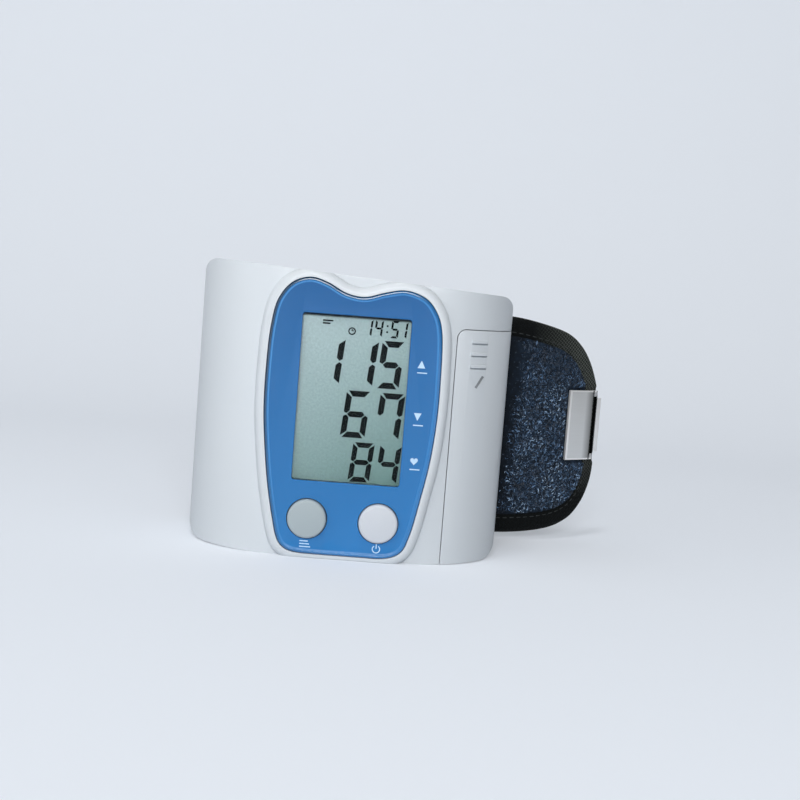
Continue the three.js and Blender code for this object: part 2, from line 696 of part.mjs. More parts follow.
function batterySpring({ x, y, up }) {
  const wire = tray.springWire;
  const cellEnd = jacketLow(up) + (up ? 0 : cell.length);
  const wallEnd = up ? bayLow : bayHigh;
  const inward = Math.sign(cellEnd - wallEnd) * (wire + fit.gap);
  const line = new CoilLine(x, y, wallEnd + inward, cellEnd - inward);
  console.log(`battery spring: least gap between turns ${leastGap(line).toFixed(2)} mm`);
  const section = new THREE.Shape(circle(wire, counts.wireSteps));
  const settings = { steps: counts.tubeSteps * tray.springTurns, extrudePath: line, bevelEnabled: false };
  return solid(new THREE.ExtrudeGeometry(section, settings));
}

function contactPlate({ x, y, up }) {
  const half = tray.plateWidth / 2;
  const low = up ? bayHigh - tray.plate : bayLow;
  return block([x - half, x + half], [y - half, y + half], [low, low + tray.plate]);
}

function batteryDoor() {
  const skin = housingBody(0, housing.rearCorner).subtract(
    column(housingOutline(door.skin, housing.innerCorner), ...everyHeight));
  const cover = skin.intersect(doorRegion(0));
  const ribRoom = skinOutside(door.skin).subtract(skinOutside(-door.ribRise));
  const ribs = Array.from({ length: door.ribs }, (_, i) => {
    const middle = doorTop - door.ribFromTop - i * door.ribStep;
    const half = door.ribThickness / 2;
    const wide = [door.ribStart, door.ribStart + door.ribWidth];
    return block(wide, [-fit.overrun, housing.partingDepth], [middle - half, middle + half]);
  }).map((rib) => rib.intersect(ribRoom));
  return joined(cover, ...ribs, doorTongue());
}

// The tongue at the door's top, which hooks behind the housing's skin.
function doorTongue() {
  const shelf = doorTop - door.tongueRoot;
  const between = (outer, inner) => skinOutside(inner).subtract(skinOutside(outer));
  const root = between(door.skin / 2, tongueBack).intersect(tongueWay(0, shelf, doorTop - fit.slide));
  const hook = between(tongueDepth, tongueBack).intersect(
    tongueWay(0, shelf, doorTop + door.tongueLength));
  return root.add(hook);
}

function housingScrew([x, z]) {
  const seat = screw.meetDepth + screw.seatWall;
  const head = barY(screw.headRadius, seat, seat + screw.headThickness, x, z, counts.smallSteps);
  return head.add(barY(screw.shankRadius, seat - screw.shankLength, seat + fit.gap, x, z, counts.smallSteps));
}

// A band of a circle about the wrist's centre, in X and Y.
function wristBand(inner, outer, halfAngle) {
  const reach = radians(halfAngle);
  const near = arc(0, wristCentre, outer, outer, -quarter - reach, reach - quarter, counts.wristSteps);
  const far = arc(0, wristCentre, inner, inner, reach - quarter, -quarter - reach, counts.wristSteps);
  return [...near, ...far];
}

function cuffFormer() {
  const low = cuff.base + cuff.formerInset;
  const halfAngle = rimAngle - cuff.formerInsetAngle;
  const outline = wristBand(formerOuter - cuff.formerThickness, formerOuter, halfAngle);
  const body = column(outline, low, cuffTop - cuff.formerInset);
  return body.subtract(
    barY(air.portRadius + fit.gap, 0, housing.rearDepth, air.blockX, air.axisHeight, counts.smallSteps));
}

function airBladder() {
  const low = cuff.base + cuff.bladderInset;
  const halfAngle = rimAngle - cuff.bladderInsetAngle;
  const outline = wristBand(bladderOuter - cuff.bladderThickness, bladderOuter, halfAngle);
  return column(outline, low, cuffTop - cuff.bladderInset);
}

// A closed body through rings of equally many points, with flat ends.
function loft(rings) {
  const size = rings[0].length;
  const places = rings.flat().flatMap((at) => [at.x, at.y, at.z]);
  const faces = [];
  for (let i = 0; i + 1 < rings.length; i++)
    for (let j = 0; j < size; j++) {
      const a = i * size + j;
      const b = i * size + ((j + 1) % size);
      faces.push(a, b, a + size, b, b + size, a + size);
    }
  const lastRing = (rings.length - 1) * size;
  for (let j = 1; j + 1 < size; j++) {
    faces.push(0, j + 1, j);
    faces.push(lastRing, lastRing + j, lastRing + j + 1);
  }
  const geometry = new THREE.BufferGeometry();
  geometry.setAttribute("position", new THREE.Float32BufferAttribute(places, 3));
  geometry.setIndex(faces);
  return solid(geometry);
}

// The section of a padded band: full in the middle, drawn in at its two long edges.
// Each pair is a share of half the thickness and of half the height.
const sectionShares = [
  [-1, -0.55], [-1, 0], [-1, 0.55], [-0.86, 0.86], [-0.5, 0.975], [0, 1], [0.5, 0.975], [0.86, 0.86],
  [1, 0.55], [1, 0], [1, -0.55], [0.86, -0.86], [0.5, -0.975], [0, -1], [-0.5, -0.975], [-0.86, -0.86],
];

// One ring of a band, at a place on its middle line, with its outer normal.
function bandRing(place, normal, thickness, low, high, shift = 0) {
  const middle = (low + high) / 2;
  const half = (high - low) / 2;
  return sectionShares.map(([across, up]) => {
    const out = shift + (across * thickness) / 2;
    return new THREE.Vector3(place.x + normal.x * out, place.y + normal.y * out, middle + up * half);
  });
}

// A line in the XY plane of even curvature. Its heading is in degrees from +X.
function bentLine(start, startHeading, endHeading, length) {
  const from = radians(startHeading);
  const bend = radians(endHeading - startHeading) / length;
  return (distance) => {
    const heading = from + bend * distance;
    const place = point(
      start.x + (Math.sin(heading) - Math.sin(from)) / bend,
      start.y - (Math.cos(heading) - Math.cos(from)) / bend,
    );
    return { place, normal: point(Math.sin(heading), -Math.cos(heading)) };
  };
}

// Stations along a band whose root end is round about its flexing line.
function noseStations(thickness) {
  const radius = thickness / 2;
  return Array.from({ length: counts.noseSteps }, (_, i) => {
    const angle = (quarter * (i + 0.6)) / counts.noseSteps;
    return { distance: -radius * Math.cos(angle), thickness: thickness * Math.sin(angle) };
  });
}

function padEnd(side) {
  const radius = (padOuter + padInner) / 2;
  const angle = radians(padHalfAngle);
  const place = point(side * radius * Math.sin(angle), wristCentre - radius * Math.cos(angle));
  return { place, along: point(side * Math.cos(angle), Math.sin(angle)) };
}

const rootOf = (side, thickness) => {
  const { place, along } = padEnd(side);
  return place.add(along.multiplyScalar(thickness / 2 + fit.gap));
};

function cuffPad() {
  const count = counts.bandSteps;
  const reach = radians(padHalfAngle);
  const rings = Array.from({ length: count + 1 }, (_, i) => {
    const share = i / count;
    const angle = reach - quarter - 2 * reach * share;
    const closeness = Math.min(share, 1 - share) * count;
    const full = Math.min(1, cuff.padEdgeShare + ((1 - cuff.padEdgeShare) * closeness) / 2);
    const thickness = cuff.padThickness * full;
    const normal = point(Math.cos(angle), Math.sin(angle));
    const radius = padOuter - cuff.padThickness / 2;
    const place = point(radius * normal.x, wristCentre + radius * normal.y);
    return bandRing(place, normal, thickness, cuff.base, cuffTop);
  });
  return loft(rings.map((ring) => ring.reverse()));
}

const rightRoot = rootOf(1, rightFlap.thickness);
const rightLine = bentLine(rightRoot, rightFlap.startHeading, rightFlap.endHeading, rightFlap.length);

// How far the tongue's round tip draws in from its long edges at a distance from its root.
function tipDraw(distance, length, run, corner) {
  const into = Math.max(0, distance - (length - run)) / run;
  return corner * (1 - Math.sqrt(Math.max(0, 1 - into * into)));
}

function tongueRings(inset, startAt, thickness, shift) {
  const length = rightFlap.length - inset;
  const nose = shift ? [] : noseStations(rightFlap.thickness);
  const bodyRun = length - rightFlap.tipRun;
  const body = Array.from({ length: counts.tongueSteps + 1 }, (_, i) => ({
    distance: startAt + ((bodyRun - startAt) * i) / counts.tongueSteps, thickness,
  }));
  const tip = Array.from({ length: counts.tipSteps }, (_, i) => {
    const share = Math.sin((quarter * (i + 1)) / (counts.tipSteps + 0.6));
    return { distance: length - rightFlap.tipRun * (1 - share), thickness };
  });
  return [...nose, ...body, ...tip].map((station) => {
    const { place, normal } = rightLine(station.distance);
    const corner = rightFlap.tipCorner - inset / 2;
    const draw = inset + tipDraw(station.distance, length, rightFlap.tipRun, corner);
    return bandRing(place, normal, station.thickness, cuff.base + draw, cuffTop - draw, shift);
  });
}

const rollEnd = rightFlap.length + clamp.barRadius + clamp.barClearance + clamp.sheet;

// A stretch of the clamp's outline over the tongue's tip, seen from above.
function clampOutline(start, end, grow) {
  const half = clamp.grip / 2 + clamp.sheet + grow;
  return [start - grow, end + grow].flatMap((distance, i) => {
    const { place, normal } = rightLine(distance);
    const sides = i ? [-half, half] : [half, -half];
    return sides.map((out) => place.clone().add(normal.clone().multiplyScalar(out)));
  });
}

function clampRoom(grow) {
  const half = clamp.height / 2 + grow;
  return column(
    clampOutline(rightFlap.length - clamp.length, rollEnd, grow), clampMiddle - half, clampMiddle + half);
}

function rightFlapBody() {
  const whole = loft(tongueRings(0, 0, rightFlap.thickness, 0));
  return whole.subtract(clampRoom(fit.gap)).add(loft(tongueTab()));
}

// The thin end of the tongue that runs into the clamp.
function tongueTab() {
  const first = rightFlap.length - clamp.length - rightFlap.thickness;
  const last = rightFlap.length - clamp.sheet;
  const half = clamp.rollHeight / 2;
  return Array.from({ length: counts.tabSteps + 1 }, (_, i) => {
    const { place, normal } = rightLine(first + ((last - first) * i) / counts.tabSteps);
    const thickness = clamp.grip - 2 * fit.gap;
    return bandRing(place, normal, thickness, clampMiddle - half, clampMiddle + half);
  });
}

function pilePanel() {
  const shift = (rightFlap.thickness + rightFlap.pileThickness) / 2 + fit.gap;
  const rings = tongueRings(rightFlap.pileMargin, rightFlap.pileStart, rightFlap.pileThickness, shift);
  return loft(rings).subtract(clampRoom(2 * fit.gap));
}

const barPlace = rightLine(rightFlap.length + clamp.barClearance + clamp.barRadius).place;
const tipHeading = radians(rightFlap.endHeading);
const loopHeading = tipHeading + radians(loop.restTurn);
const loopNormal = point(Math.sin(loopHeading), -Math.cos(loopHeading));
const loopAlong = point(Math.cos(loopHeading), Math.sin(loopHeading));

// A folded sheet over the tongue's end, rolled round the loop's bar.
function loopClamp() {
  const start = rightFlap.length - clamp.length;
  const halfPlate = clamp.height / 2;
  const halfRoll = clamp.rollHeight / 2;
  const plates = column(
    clampOutline(start, rightFlap.length - clamp.sheet, 0), clampMiddle - halfPlate, clampMiddle + halfPlate);
  const roll = column(clampOutline(start, rollEnd, 0), clampMiddle - halfRoll, clampMiddle + halfRoll);
  const first = start - fit.gap;
  const last = rightFlap.length - clamp.sheet + fit.gap;
  const grip = Array.from({ length: counts.gripSteps + 1 }, (_, i) =>
    rightLine(first + ((last - first) * i) / counts.gripSteps));
  const near = grip.map((at) => at.place.clone().add(at.normal.clone().multiplyScalar(clamp.grip / 2)));
  const far = grip.map((at) => at.place.clone().sub(at.normal.clone().multiplyScalar(clamp.grip / 2)));
  const slot = column([...near, ...far.reverse()], cuff.base, cuffTop);
  const bore = barZ(clamp.barRadius + clamp.barClearance, cuff.base, cuffTop, barPlace.x, barPlace.y,
    counts.smallSteps);
  return cut(plates.add(roll), slot, bore);
}

// The rectangular wire that the strap passes through, closed round the clamp's roll. It hangs back.
function strapLoop() {
  const rise = clamp.rollHeight / 2 + fit.gap + clamp.barRadius;
  const reach = clamp.barRadius + clamp.barClearance + clamp.sheet + loop.slot;
  const outline = rounded(rectangle(0, reach, clampMiddle - rise, clampMiddle + rise), loop.corner);
  const places = outline.map((at) =>
    new THREE.Vector3(barPlace.x + loopAlong.x * at.x, barPlace.y + loopAlong.y * at.x, at.y));
  const last = places.length;
  const sideways = new THREE.Vector3(loopNormal.x, loopNormal.y, 0);
  const rings = places.map((at, i) => {
    const along = places[(i + 1) % last].clone().sub(places[(i + last - 1) % last]).normalize();
    const across = new THREE.Vector3().crossVectors(along, sideways);
    return circle(clamp.barRadius, counts.tubeSteps).map((spot) =>
      at.clone().addScaledVector(sideways, spot.x).addScaledVector(across, spot.y));
  });
  return closedLoft(rings);
}

// A ring-shaped body through rings, the last joined to the first.
function closedLoft(rings) {
  const size = rings[0].length;
  const faces = [];
  rings.forEach((_, i) => {
    const next = (i + 1) % rings.length;
    for (let j = 0; j < size; j++) {
      const k = (j + 1) % size;
      faces.push(i * size + j, i * size + k, next * size + j);
      faces.push(i * size + k, next * size + k, next * size + j);
    }
  });
  const places = rings.flat().flatMap((at) => [at.x, at.y, at.z]);
  const geometry = new THREE.BufferGeometry();
  geometry.setAttribute("position", new THREE.Float32BufferAttribute(places, 3));
  geometry.setIndex(faces);
  return solid(geometry);
}

// The left half of the cuff curls round behind the wrist and narrows to the strap.
const leftRoot = rootOf(-1, leftFlap.thickness);
const leftHeading = 180 - padHalfAngle;
const leftLength = leftFlap.radius * radians(leftFlap.sweep);
const leftLine = bentLine(leftRoot, leftHeading, leftHeading - leftFlap.sweep, leftLength);
const strapLength = leftFlap.radius * radians(strap.sweep);
const strapRoot = leftLine(leftLength + strap.thickness / 2 + fit.gap).place;
const strapHeading = leftHeading - leftFlap.sweep;
const strapLine = bentLine(strapRoot, strapHeading, strapHeading - strap.sweep, strapLength);

const outward = (normal) => normal.clone().negate();

function leftFlapBody() {
  const body = Array.from({ length: counts.bandSteps + 1 }, (_, i) => ({
    distance: (leftLength * i) / counts.bandSteps, thickness: leftFlap.thickness,
  }));
  const rings = [...noseStations(leftFlap.thickness), ...body].map((station) => {
    const share = station.distance / leftLength;
    const into = Math.max(0, (share - leftFlap.fullShare) / (1 - leftFlap.fullShare));
    const ease = into * into * (3 - 2 * into);
    const height = cuff.height + (strap.width - cuff.height) * ease;
    const thin = station.thickness * (1 - ease / 2);
    const { place, normal } = leftLine(station.distance);
    return bandRing(place, outward(normal), thin, cuffMiddle - height / 2, cuffMiddle + height / 2);
  });
  return loft(rings.map((ring) => ring.reverse()));
}

function strapBody() {
  const body = Array.from({ length: counts.bandSteps + 1 }, (_, i) => ({
    distance: (strapLength * i) / counts.bandSteps, thickness: strap.thickness,
  }));
  const half = strap.width / 2;
  const rings = [...noseStations(strap.thickness), ...body].map((station) => {
    const { place, normal } = strapLine(station.distance);
    return bandRing(place, outward(normal), station.thickness, cuffMiddle - half, cuffMiddle + half);
  });
  return loft(rings.map((ring) => ring.reverse()));
}

function hookPatch() {
  const count = counts.smallSteps;
  const run = leftFlap.radius * radians(strap.patchSweep);
  const shift = (strap.thickness + strap.patchThickness) / 2 + fit.gap;
  const half = strap.width / 2 - strap.patchMargin;
  const rings = Array.from({ length: count + 1 }, (_, i) => {
    const { place, normal } = strapLine(strapLength - strap.patchMargin - run + (run * i) / count);
    const outer = outward(normal);
    return bandRing(place, outer, strap.patchThickness, cuffMiddle - half, cuffMiddle + half, shift);
  });
  return loft(rings.map((ring) => ring.reverse()));
}

// Every piece with its finish, in the order of taking the monitor apart.
const pieces = {
  front_housing: [frontHousing(), finishes.shell],
  rear_housing: [rearHousing(), finishes.shell],
  face_plate: [facePlate(), finishes.blue],
  display_window: [displayWindow(), finishes.window],
  lcd_panel: [lcdPanel(), finishes.display],
  lcd_holder: [lcdHolder(), finishes.innerPlastic],
  contact_strip: [stripBody(0), finishes.chip],
  memory_button: [pushButton(buttonPlaces[0]), finishes.greyButton],
  power_button: [pushButton(buttonPlaces[1]), finishes.paleButton],
  key_mat: [keyMat(), finishes.silicone],
  circuit_board: [circuitBoard(), finishes.board],
  main_chip: [mainChip(), finishes.chip],
  pressure_sensor: [pressureSensor(), finishes.chip],
  air_manifold: [airManifold(), finishes.innerPlastic],
  pump_motor: [pumpMotor(), finishes.motor],
  pump_crank: [pumpCrank(), finishes.contact],
  pump_head: [pumpHead(), finishes.pumpBlack],
  exhaust_valve: [exhaustValve(), finishes.pumpBlack],
  valve_plunger: [valvePlunger(), finishes.contact],
  pump_tube: [pumpTube(), finishes.tube],
  valve_tube: [valveTube(), finishes.tube],
  sensor_tube: [sensorTube(), finishes.tube],
  battery_tray: [batteryTray(), finishes.innerPlastic],
  battery_door: [batteryDoor(), finishes.shell],
  cuff_former: [cuffFormer(), finishes.former],
  air_bladder: [airBladder(), finishes.bladder],
  cuff_pad: [cuffPad(), finishes.cloth],
  right_flap: [rightFlapBody(), finishes.cloth],
  pile_panel: [pilePanel(), finishes.pile],
  loop_clamp: [loopClamp(), finishes.metal],
  strap_loop: [strapLoop(), finishes.metal],
  left_flap: [leftFlapBody(), finishes.cloth],
  strap: [strapBody(), finishes.cloth],
  hook_patch: [hookPatch(), finishes.pile],
};
cells.forEach((place, i) => {
  pieces[`battery_${i + 1}`] = [battery(place), finishes.cellJacket];
  pieces[`battery_spring_${i + 1}`] = [batterySpring(place), finishes.contact];
  pieces[`contact_plate_${i + 1}`] = [contactPlate(place), finishes.contact];
});
screwPlaces.forEach((place, i) => {
  pieces[`housing_screw_${i + 1}`] = [housingScrew(place), finishes.screw];
});

const monitor = new THREE.Group();
for (const [name, [body, material]] of Object.entries(pieces)) {
  const mesh = new THREE.Mesh(geometryOf(body), material);
  mesh.name = name;
  monitor.add(mesh);
}
monitor.position.y = -housing.standDepth;

export default monitor;
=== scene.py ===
import math

import bpy
import numpy as np
from mathutils import Matrix, Vector


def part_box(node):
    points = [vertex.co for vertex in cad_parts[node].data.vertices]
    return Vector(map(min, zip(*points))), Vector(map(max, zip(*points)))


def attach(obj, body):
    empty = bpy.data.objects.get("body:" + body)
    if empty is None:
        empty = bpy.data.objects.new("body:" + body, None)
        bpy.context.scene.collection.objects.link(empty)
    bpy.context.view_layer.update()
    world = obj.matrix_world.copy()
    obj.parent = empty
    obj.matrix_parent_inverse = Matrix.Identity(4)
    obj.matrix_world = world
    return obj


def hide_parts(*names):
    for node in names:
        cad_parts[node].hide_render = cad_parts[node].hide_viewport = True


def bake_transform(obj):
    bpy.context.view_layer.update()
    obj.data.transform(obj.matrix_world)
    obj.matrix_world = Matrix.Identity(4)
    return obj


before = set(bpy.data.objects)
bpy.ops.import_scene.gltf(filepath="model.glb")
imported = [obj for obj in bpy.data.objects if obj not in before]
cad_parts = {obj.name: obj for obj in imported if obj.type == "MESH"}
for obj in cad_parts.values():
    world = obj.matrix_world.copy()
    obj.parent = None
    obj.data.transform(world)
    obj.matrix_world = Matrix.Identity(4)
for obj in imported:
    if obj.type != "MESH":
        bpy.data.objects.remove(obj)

bl_info = {
    "name": "Wrist Blood Pressure Monitor",
    "version": (1, 0, 0),
    "blender": (4, 5, 0),
    "location": "View3D > Sidebar > Monitor",
    "description": "Models and finishes a wrist blood pressure monitor around its packed frame",
    "category": "Object",
}

MM = 0.001
# points closer than this are one point
NEAR = 0.002 * MM
QUARTER = math.pi / 2
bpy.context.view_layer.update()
FRONT_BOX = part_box("front_housing")
REAR_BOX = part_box("rear_housing")
PLATE_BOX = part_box("face_plate")
LCD_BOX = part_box("lcd_panel")
DOOR_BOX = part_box("battery_door")
PAD_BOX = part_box("cuff_pad")
BUTTON_BOXES = {name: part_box(name) for name in ("memory_button", "power_button")}


def span(box, axis):
    return box[1][axis] - box[0][axis]


def middle(box, axis):
    return (box[0][axis] + box[1][axis]) / 2


def length(name, description, default):
    return bpy.props.FloatProperty(
        name=name, description=description, default=default, precision=5, subtype="DISTANCE", unit="LENGTH"
    )


def angle(name, description, degrees):
    return bpy.props.FloatProperty(
        name=name, description=description, default=math.radians(degrees), subtype="ANGLE", unit="ROTATION"
    )


def linear(value):
    """One channel of a screen colour from 0 to 1, as light."""
    return value / 12.92 if value <= 0.04045 else ((value + 0.055) / 1.055) ** 2.4


def from_hex(code):
    return tuple(linear(int(code[i : i + 2], 16) / 255) for i in (0, 2, 4))


def colour(name, description, code):
    return bpy.props.FloatVectorProperty(
        name=name, description=description, default=from_hex(code), size=3, min=0, max=1, subtype="COLOR"
    )


def number(name, description, default):
    return bpy.props.FloatProperty(name=name, description=description, default=default, min=0, max=100)


# Sizes and colours that a user would change


class MonitorShell(bpy.types.PropertyGroup):
    width: length("Width", "Across both wings", span(FRONT_BOX, 0))
    height: length("Height", "At the middle of the top edge", 71 * MM)
    top_fall: number("Top fall", "How far the top edge falls for each length to the right", 0.0585)
    flat_width: length("Flat width", "The flat part of the front", 36 * MM)
    side_depth: length("Side depth", "Where the rounded front meets the sides", 24 * MM)
    parting_depth: length("Parting depth", "Where the two halves meet", 24 * MM)
    front_y: length("Front", "Where the flat front lies", -10 * MM)
    wall: length("Wall", "Thickness of the shell", 2 * MM)
    wrist_radius: length("Wrist radius", "Of the hollow for the wrist", 45 * MM)
    wrist_y: length("Wrist centre", "Where the wrist's middle line lies", 56 * MM)
    corner: length("Corner", "Radius of the four corners seen from the front", 4.5 * MM)
    rear_corner: length("Rear corner", "Radius of the rear corners", 3 * MM)
    edge: length("Edge", "Rounding of the outer edges", 1.1 * MM)
    seam: length("Seam", "Width of the line between the halves", 0.25 * MM)
    collar: length("Collar", "Width of the raised border round the face plate", 2.45 * MM)
    collar_round: length("Collar rounding", "Rounding of the raised border", 2.1 * MM)
    foot_lift: length("Foot lift", "Rise of the lower edge towards both sides", 0.5 * MM)
    plate_gap: length("Plate gap", "Dark line between border and face plate", 0.08 * MM)
    shell_colour: colour("Shell", "Pale grey plastic", "CDD3D8")


class MonitorFace(bpy.types.PropertyGroup):
    width: length("Width", "At the widest place", 43.4 * MM)
    lip: length("Lip", "Width of the raised lip round the plate", 1.25 * MM)
    lip_rise: length("Lip rise", "How far the lip stands above the flat face", 0.22 * MM)
    plate_colour: colour("Plate", "Glossy blue at the foot", "2978B8")
    # painted shade: the plate's blue darkens towards the humps
    top_shade_colour: colour("Plate top shade", "Glossy blue at the humps", "205F9A")
    # painted shade: the dark blue of the plate's rounded edge, fullest at the upper left
    edge_shade_colour: colour("Edge painted shade", "Dark blue side wall of the plate", "143E5E")
    # painted highlight: the lighter line on the inner side of the lip, fullest at the upper left
    lip_highlight_colour: colour("Lip line", "Lighter line on the inner side of the lip", "5397D4")
    print_colour: colour("Print", "Pale blue marks on the plate", "BBD9F2")
    mark_size: length("Mark size", "Height of the printed marks", 1.9 * MM)


class MonitorDisplay(bpy.types.PropertyGroup):
    aperture_corner: length("Corner", "Corner radius of the display's opening", 0.7 * MM)
    strip: length("Strip", "Height of the dark strip above the panel", 0.4 * MM)
    light_colour: colour("Upper glass", "Grey-green of the display's upper half", "B0C2C4")
    dark_colour: colour("Lower glass", "Grey-green of the display's lower right", "6C8C88")
    digit_colour: colour("Digits", "Dark segments", "0B1214")
    slant: angle("Slant", "Lean of the digits", 5)
    stroke: length("Stroke", "Width of the large segments", 1.56 * MM)


class MonitorButtons(bpy.types.PropertyGroup):
    radius: length("Radius", "Of each round button", 4.9 * MM)
    edge: length("Edge", "Rounding of the rim", 0.7 * MM)
    memory_colour: colour("Left button", "Grey rubber", "A1ADB2")
    power_colour: colour("Right button", "Near-white rubber", "C6CBD2")


class MonitorDoor(bpy.types.PropertyGroup):
    edge_x: length("Left edge", "Where the door starts", DOOR_BOX[0][0])
    top: length("Top", "Height of the door's upper edge", 59.8 * MM)
    base: length("Base", "Height of the door's lower edge", 0.15 * MM)
    corner: length("Corner", "Radius of its corner", 2.2 * MM)
    skin: length("Skin", "Thickness of the cover", 1.6 * MM)
    rear_y: length("Rear", "Where the door ends behind", 21 * MM)
    gap: length("Gap", "Dark line round the door", 0.2 * MM)
    rib_start: length("Rib start", "Where the grip ribs start", 29.3 * MM)
    rib_width: length("Rib width", "Width of a grip rib", 4.0 * MM)
    rib_step: length("Rib step", "From one rib to the next", 3.1 * MM)
    rib_rise: length("Rib rise", "How far a rib stands proud", 0.55 * MM)
    arrow_height: length("Arrow height", "Height of the arrow's tip", 45.3 * MM)


class MonitorCuff(bpy.types.PropertyGroup):
    base: length("Base", "Height of the cuff's lower edge", PAD_BOX[0][2])
    top: length("Top", "Height of the cuff's upper edge", PAD_BOX[1][2])
    pad_outer: length("Pad outer radius", "Of the padded body round the wrist", 41 * MM)
    pad_thickness: length("Pad thickness", "Of the padded body", 5 * MM)
    pad_angle: angle("Pad half angle", "How far the pad reaches to each side", 48.004)
    tongue_length: length("Tongue length", "From its root to its tip", 45.6 * MM)
    tongue_thickness: length("Tongue thickness", "Of the stiffened tongue", 3.2 * MM)
    binding: length("Binding", "Width of the tape round the tongue", 5.4 * MM)
    left_length: length("Left length", "Of the padded half behind the wrist", 47.4 * MM)
    left_thickness: length("Left thickness", "Of the padded half behind the wrist", 4.4 * MM)
    strap_length: length("Strap length", "Of the fastening strap", 50.82 * MM)
    strap_width: length("Strap width", "Of the fastening strap", 16 * MM)
    strap_thickness: length("Strap thickness", "Of the fastening strap", 1.8 * MM)
    cloth_colour: colour("Cloth", "Black woven nylon", "070A0B")
    thread_colour: colour("Thread", "Grey sewing thread", "1E2324")
    pile_colour: colour("Pile", "Navy loop pile", "1E2D3E")
    # painted highlight: the colour of pile loops that glint
    speck_colour: colour("Pile light", "Loops that catch the light", "A4BDD6")
    loop_count: bpy.props.IntProperty(name="Loops", description="Loops out of the pile", default=6800)


class MonitorMetal(bpy.types.PropertyGroup):
    height: length("Clamp height", "Of the folded sheet over the tongue's tip", 20.2 * MM)
    length: length("Clamp length", "Along the tongue", 11.6 * MM)
    drop: length("Clamp drop", "How far the clamp sits below the cuff's middle", 0.6 * MM)
    rest_turn: angle("Loop turn", "How far the loop hangs back from the tip's direction", 50)
    gap: length("Clamp slot", "Width of the slot between plate and roll", 1.7 * MM)
    gap_place: length("Slot place", "From the middle of the slot to the tongue's tip", 1.75 * MM)
    sheet: length("Sheet", "Thickness of the sheet", 0.8 * MM)
    grip: length("Grip", "Room between the two plates", 2.4 * MM)
    flat: number("Flatness", "Depth of the fold beyond the bar as a share of its radius", 0.65)
    roll_height: length("Roll height", "Height of the part rolled round the wire", 15.8 * MM)
    wire: length("Wire radius", "Of the loop's wire", 0.7 * MM)
    slot: length("Slot", "Room for the strap in the loop", 2.2 * MM)
    metal_colour: colour("Metal", "Nickel-plated steel", "DCDEDF")


class MonitorStage(bpy.types.PropertyGroup):
    distance: length("Camera distance", "From the display", 333 * MM)
    pitch: angle("Pitch", "How far the camera looks down", 5)
    roll: angle("Roll", "How far the picture is turned", 4.3)
    lens: number("Lens", "Focal length in millimetres for a sensor of 36 mm", 59.94)
    floor_colour: colour("Floor", "Pale floor", "C6CCD4")
    lift: number("Lift", "Light that only the camera sees on floor and backdrop", 0.27)
    sky: number("Sky", "Strength of the even light", 0.22)
    key: number("Key", "Power of the lamp in front in watts", 13.2)
    fill: number("Fill", "Power of the lamp at the side in watts", 2.1)
    top: number("Top", "Power of the lamp from above in watts", 2.6)


GROUPS = {
    "monitor_shell": MonitorShell,
    "monitor_face": MonitorFace,
    "monitor_display": MonitorDisplay,
    "monitor_buttons": MonitorButtons,
    "monitor_door": MonitorDoor,
    "monitor_cuff": MonitorCuff,
    "monitor_metal": MonitorMetal,
    "monitor_stage": MonitorStage,
}


# Modelling helpers


def use(obj):
    """Makes one object the only selected and active one."""
    if bpy.context.object and bpy.context.object.mode != "OBJECT":
        bpy.ops.object.mode_set(mode="OBJECT")
    bpy.ops.object.select_all(action="DESELECT")
    obj.select_set(True)
    bpy.context.view_layer.objects.active = obj
    return obj


def edit(obj, mode="VERT", select="SELECT"):
    use(obj)
    bpy.ops.object.mode_set(mode="EDIT")
    bpy.ops.mesh.select_mode(type=mode)
    bpy.ops.mesh.select_all(action=select)


def done():
    bpy.ops.object.mode_set(mode="OBJECT")


def turn_outwards(obj):
    edit(obj)
    bpy.ops.mesh.normals_make_consistent(inside=False)
    done()
    return obj


def clean(obj, distance=NEAR):
    """Merges doubles and turns all faces outwards."""
    edit(obj)
    bpy.ops.mesh.remove_doubles(threshold=distance)
    bpy.ops.mesh.normals_make_consistent(inside=False)
    done()
    return obj


def settle(obj):
    """Puts an object's place into its mesh."""
    use(obj)
    bpy.ops.object.transform_apply(location=True, rotation=True, scale=True)
    return obj


def smooth(obj, degrees=35):
    use(obj)
    bpy.ops.object.shade_smooth_by_angle(angle=math.radians(degrees))
    return obj


def soften(obj, width, segments=3, degrees=40):
    """Rounds every edge that is sharper than an angle."""
    modifier = obj.modifiers.new("soften", "BEVEL")
    modifier.width = width
    modifier.segments = segments
    modifier.limit_method = "ANGLE"
    modifier.angle_limit = math.radians(degrees)
    modifier.miter_outer = "MITER_ARC"
    use(obj)
    bpy.ops.object.modifier_apply(modifier=modifier.name)
    return obj


def combine(obj, tool, operation="DIFFERENCE"):
    """Cuts, joins or keeps what two solids share, and removes the tool."""
    modifier = obj.modifiers.new("combine", "BOOLEAN")
    modifier.operation = operation
    modifier.solver = "EXACT"
    modifier.object = tool
    use(obj)
    bpy.ops.object.modifier_apply(modifier=modifier.name)
    bpy.data.objects.remove(tool)
    edit(obj)
    bpy.ops.mesh.remove_doubles(threshold=NEAR)
    bpy.ops.mesh.dissolve_degenerate(threshold=NEAR)
    done()
    return obj


def copied(obj, name):
    twin = obj.copy()
    twin.data = obj.data.copy()
    twin.name = name
    bpy.context.collection.objects.link(twin)
    return twin


def joined(objects, name):
    use(objects[0])
    for obj in objects:
        obj.select_set(True)
    bpy.ops.object.join()
    objects[0].name = name
    objects[0].data.name = name
    return objects[0]


def arc(cx, cy, rx, ry, start, end, count):
    """Points on an arc of an ellipse, from one angle to another."""
    turns = np.linspace(start, end, count + 1)
    return [(cx + rx * math.cos(t), cy + ry * math.sin(t)) for t in turns]


def circle(x, y, radius, count=64):
    return arc(x, y, radius, radius, 0, 2 * math.pi, count)[:-1]


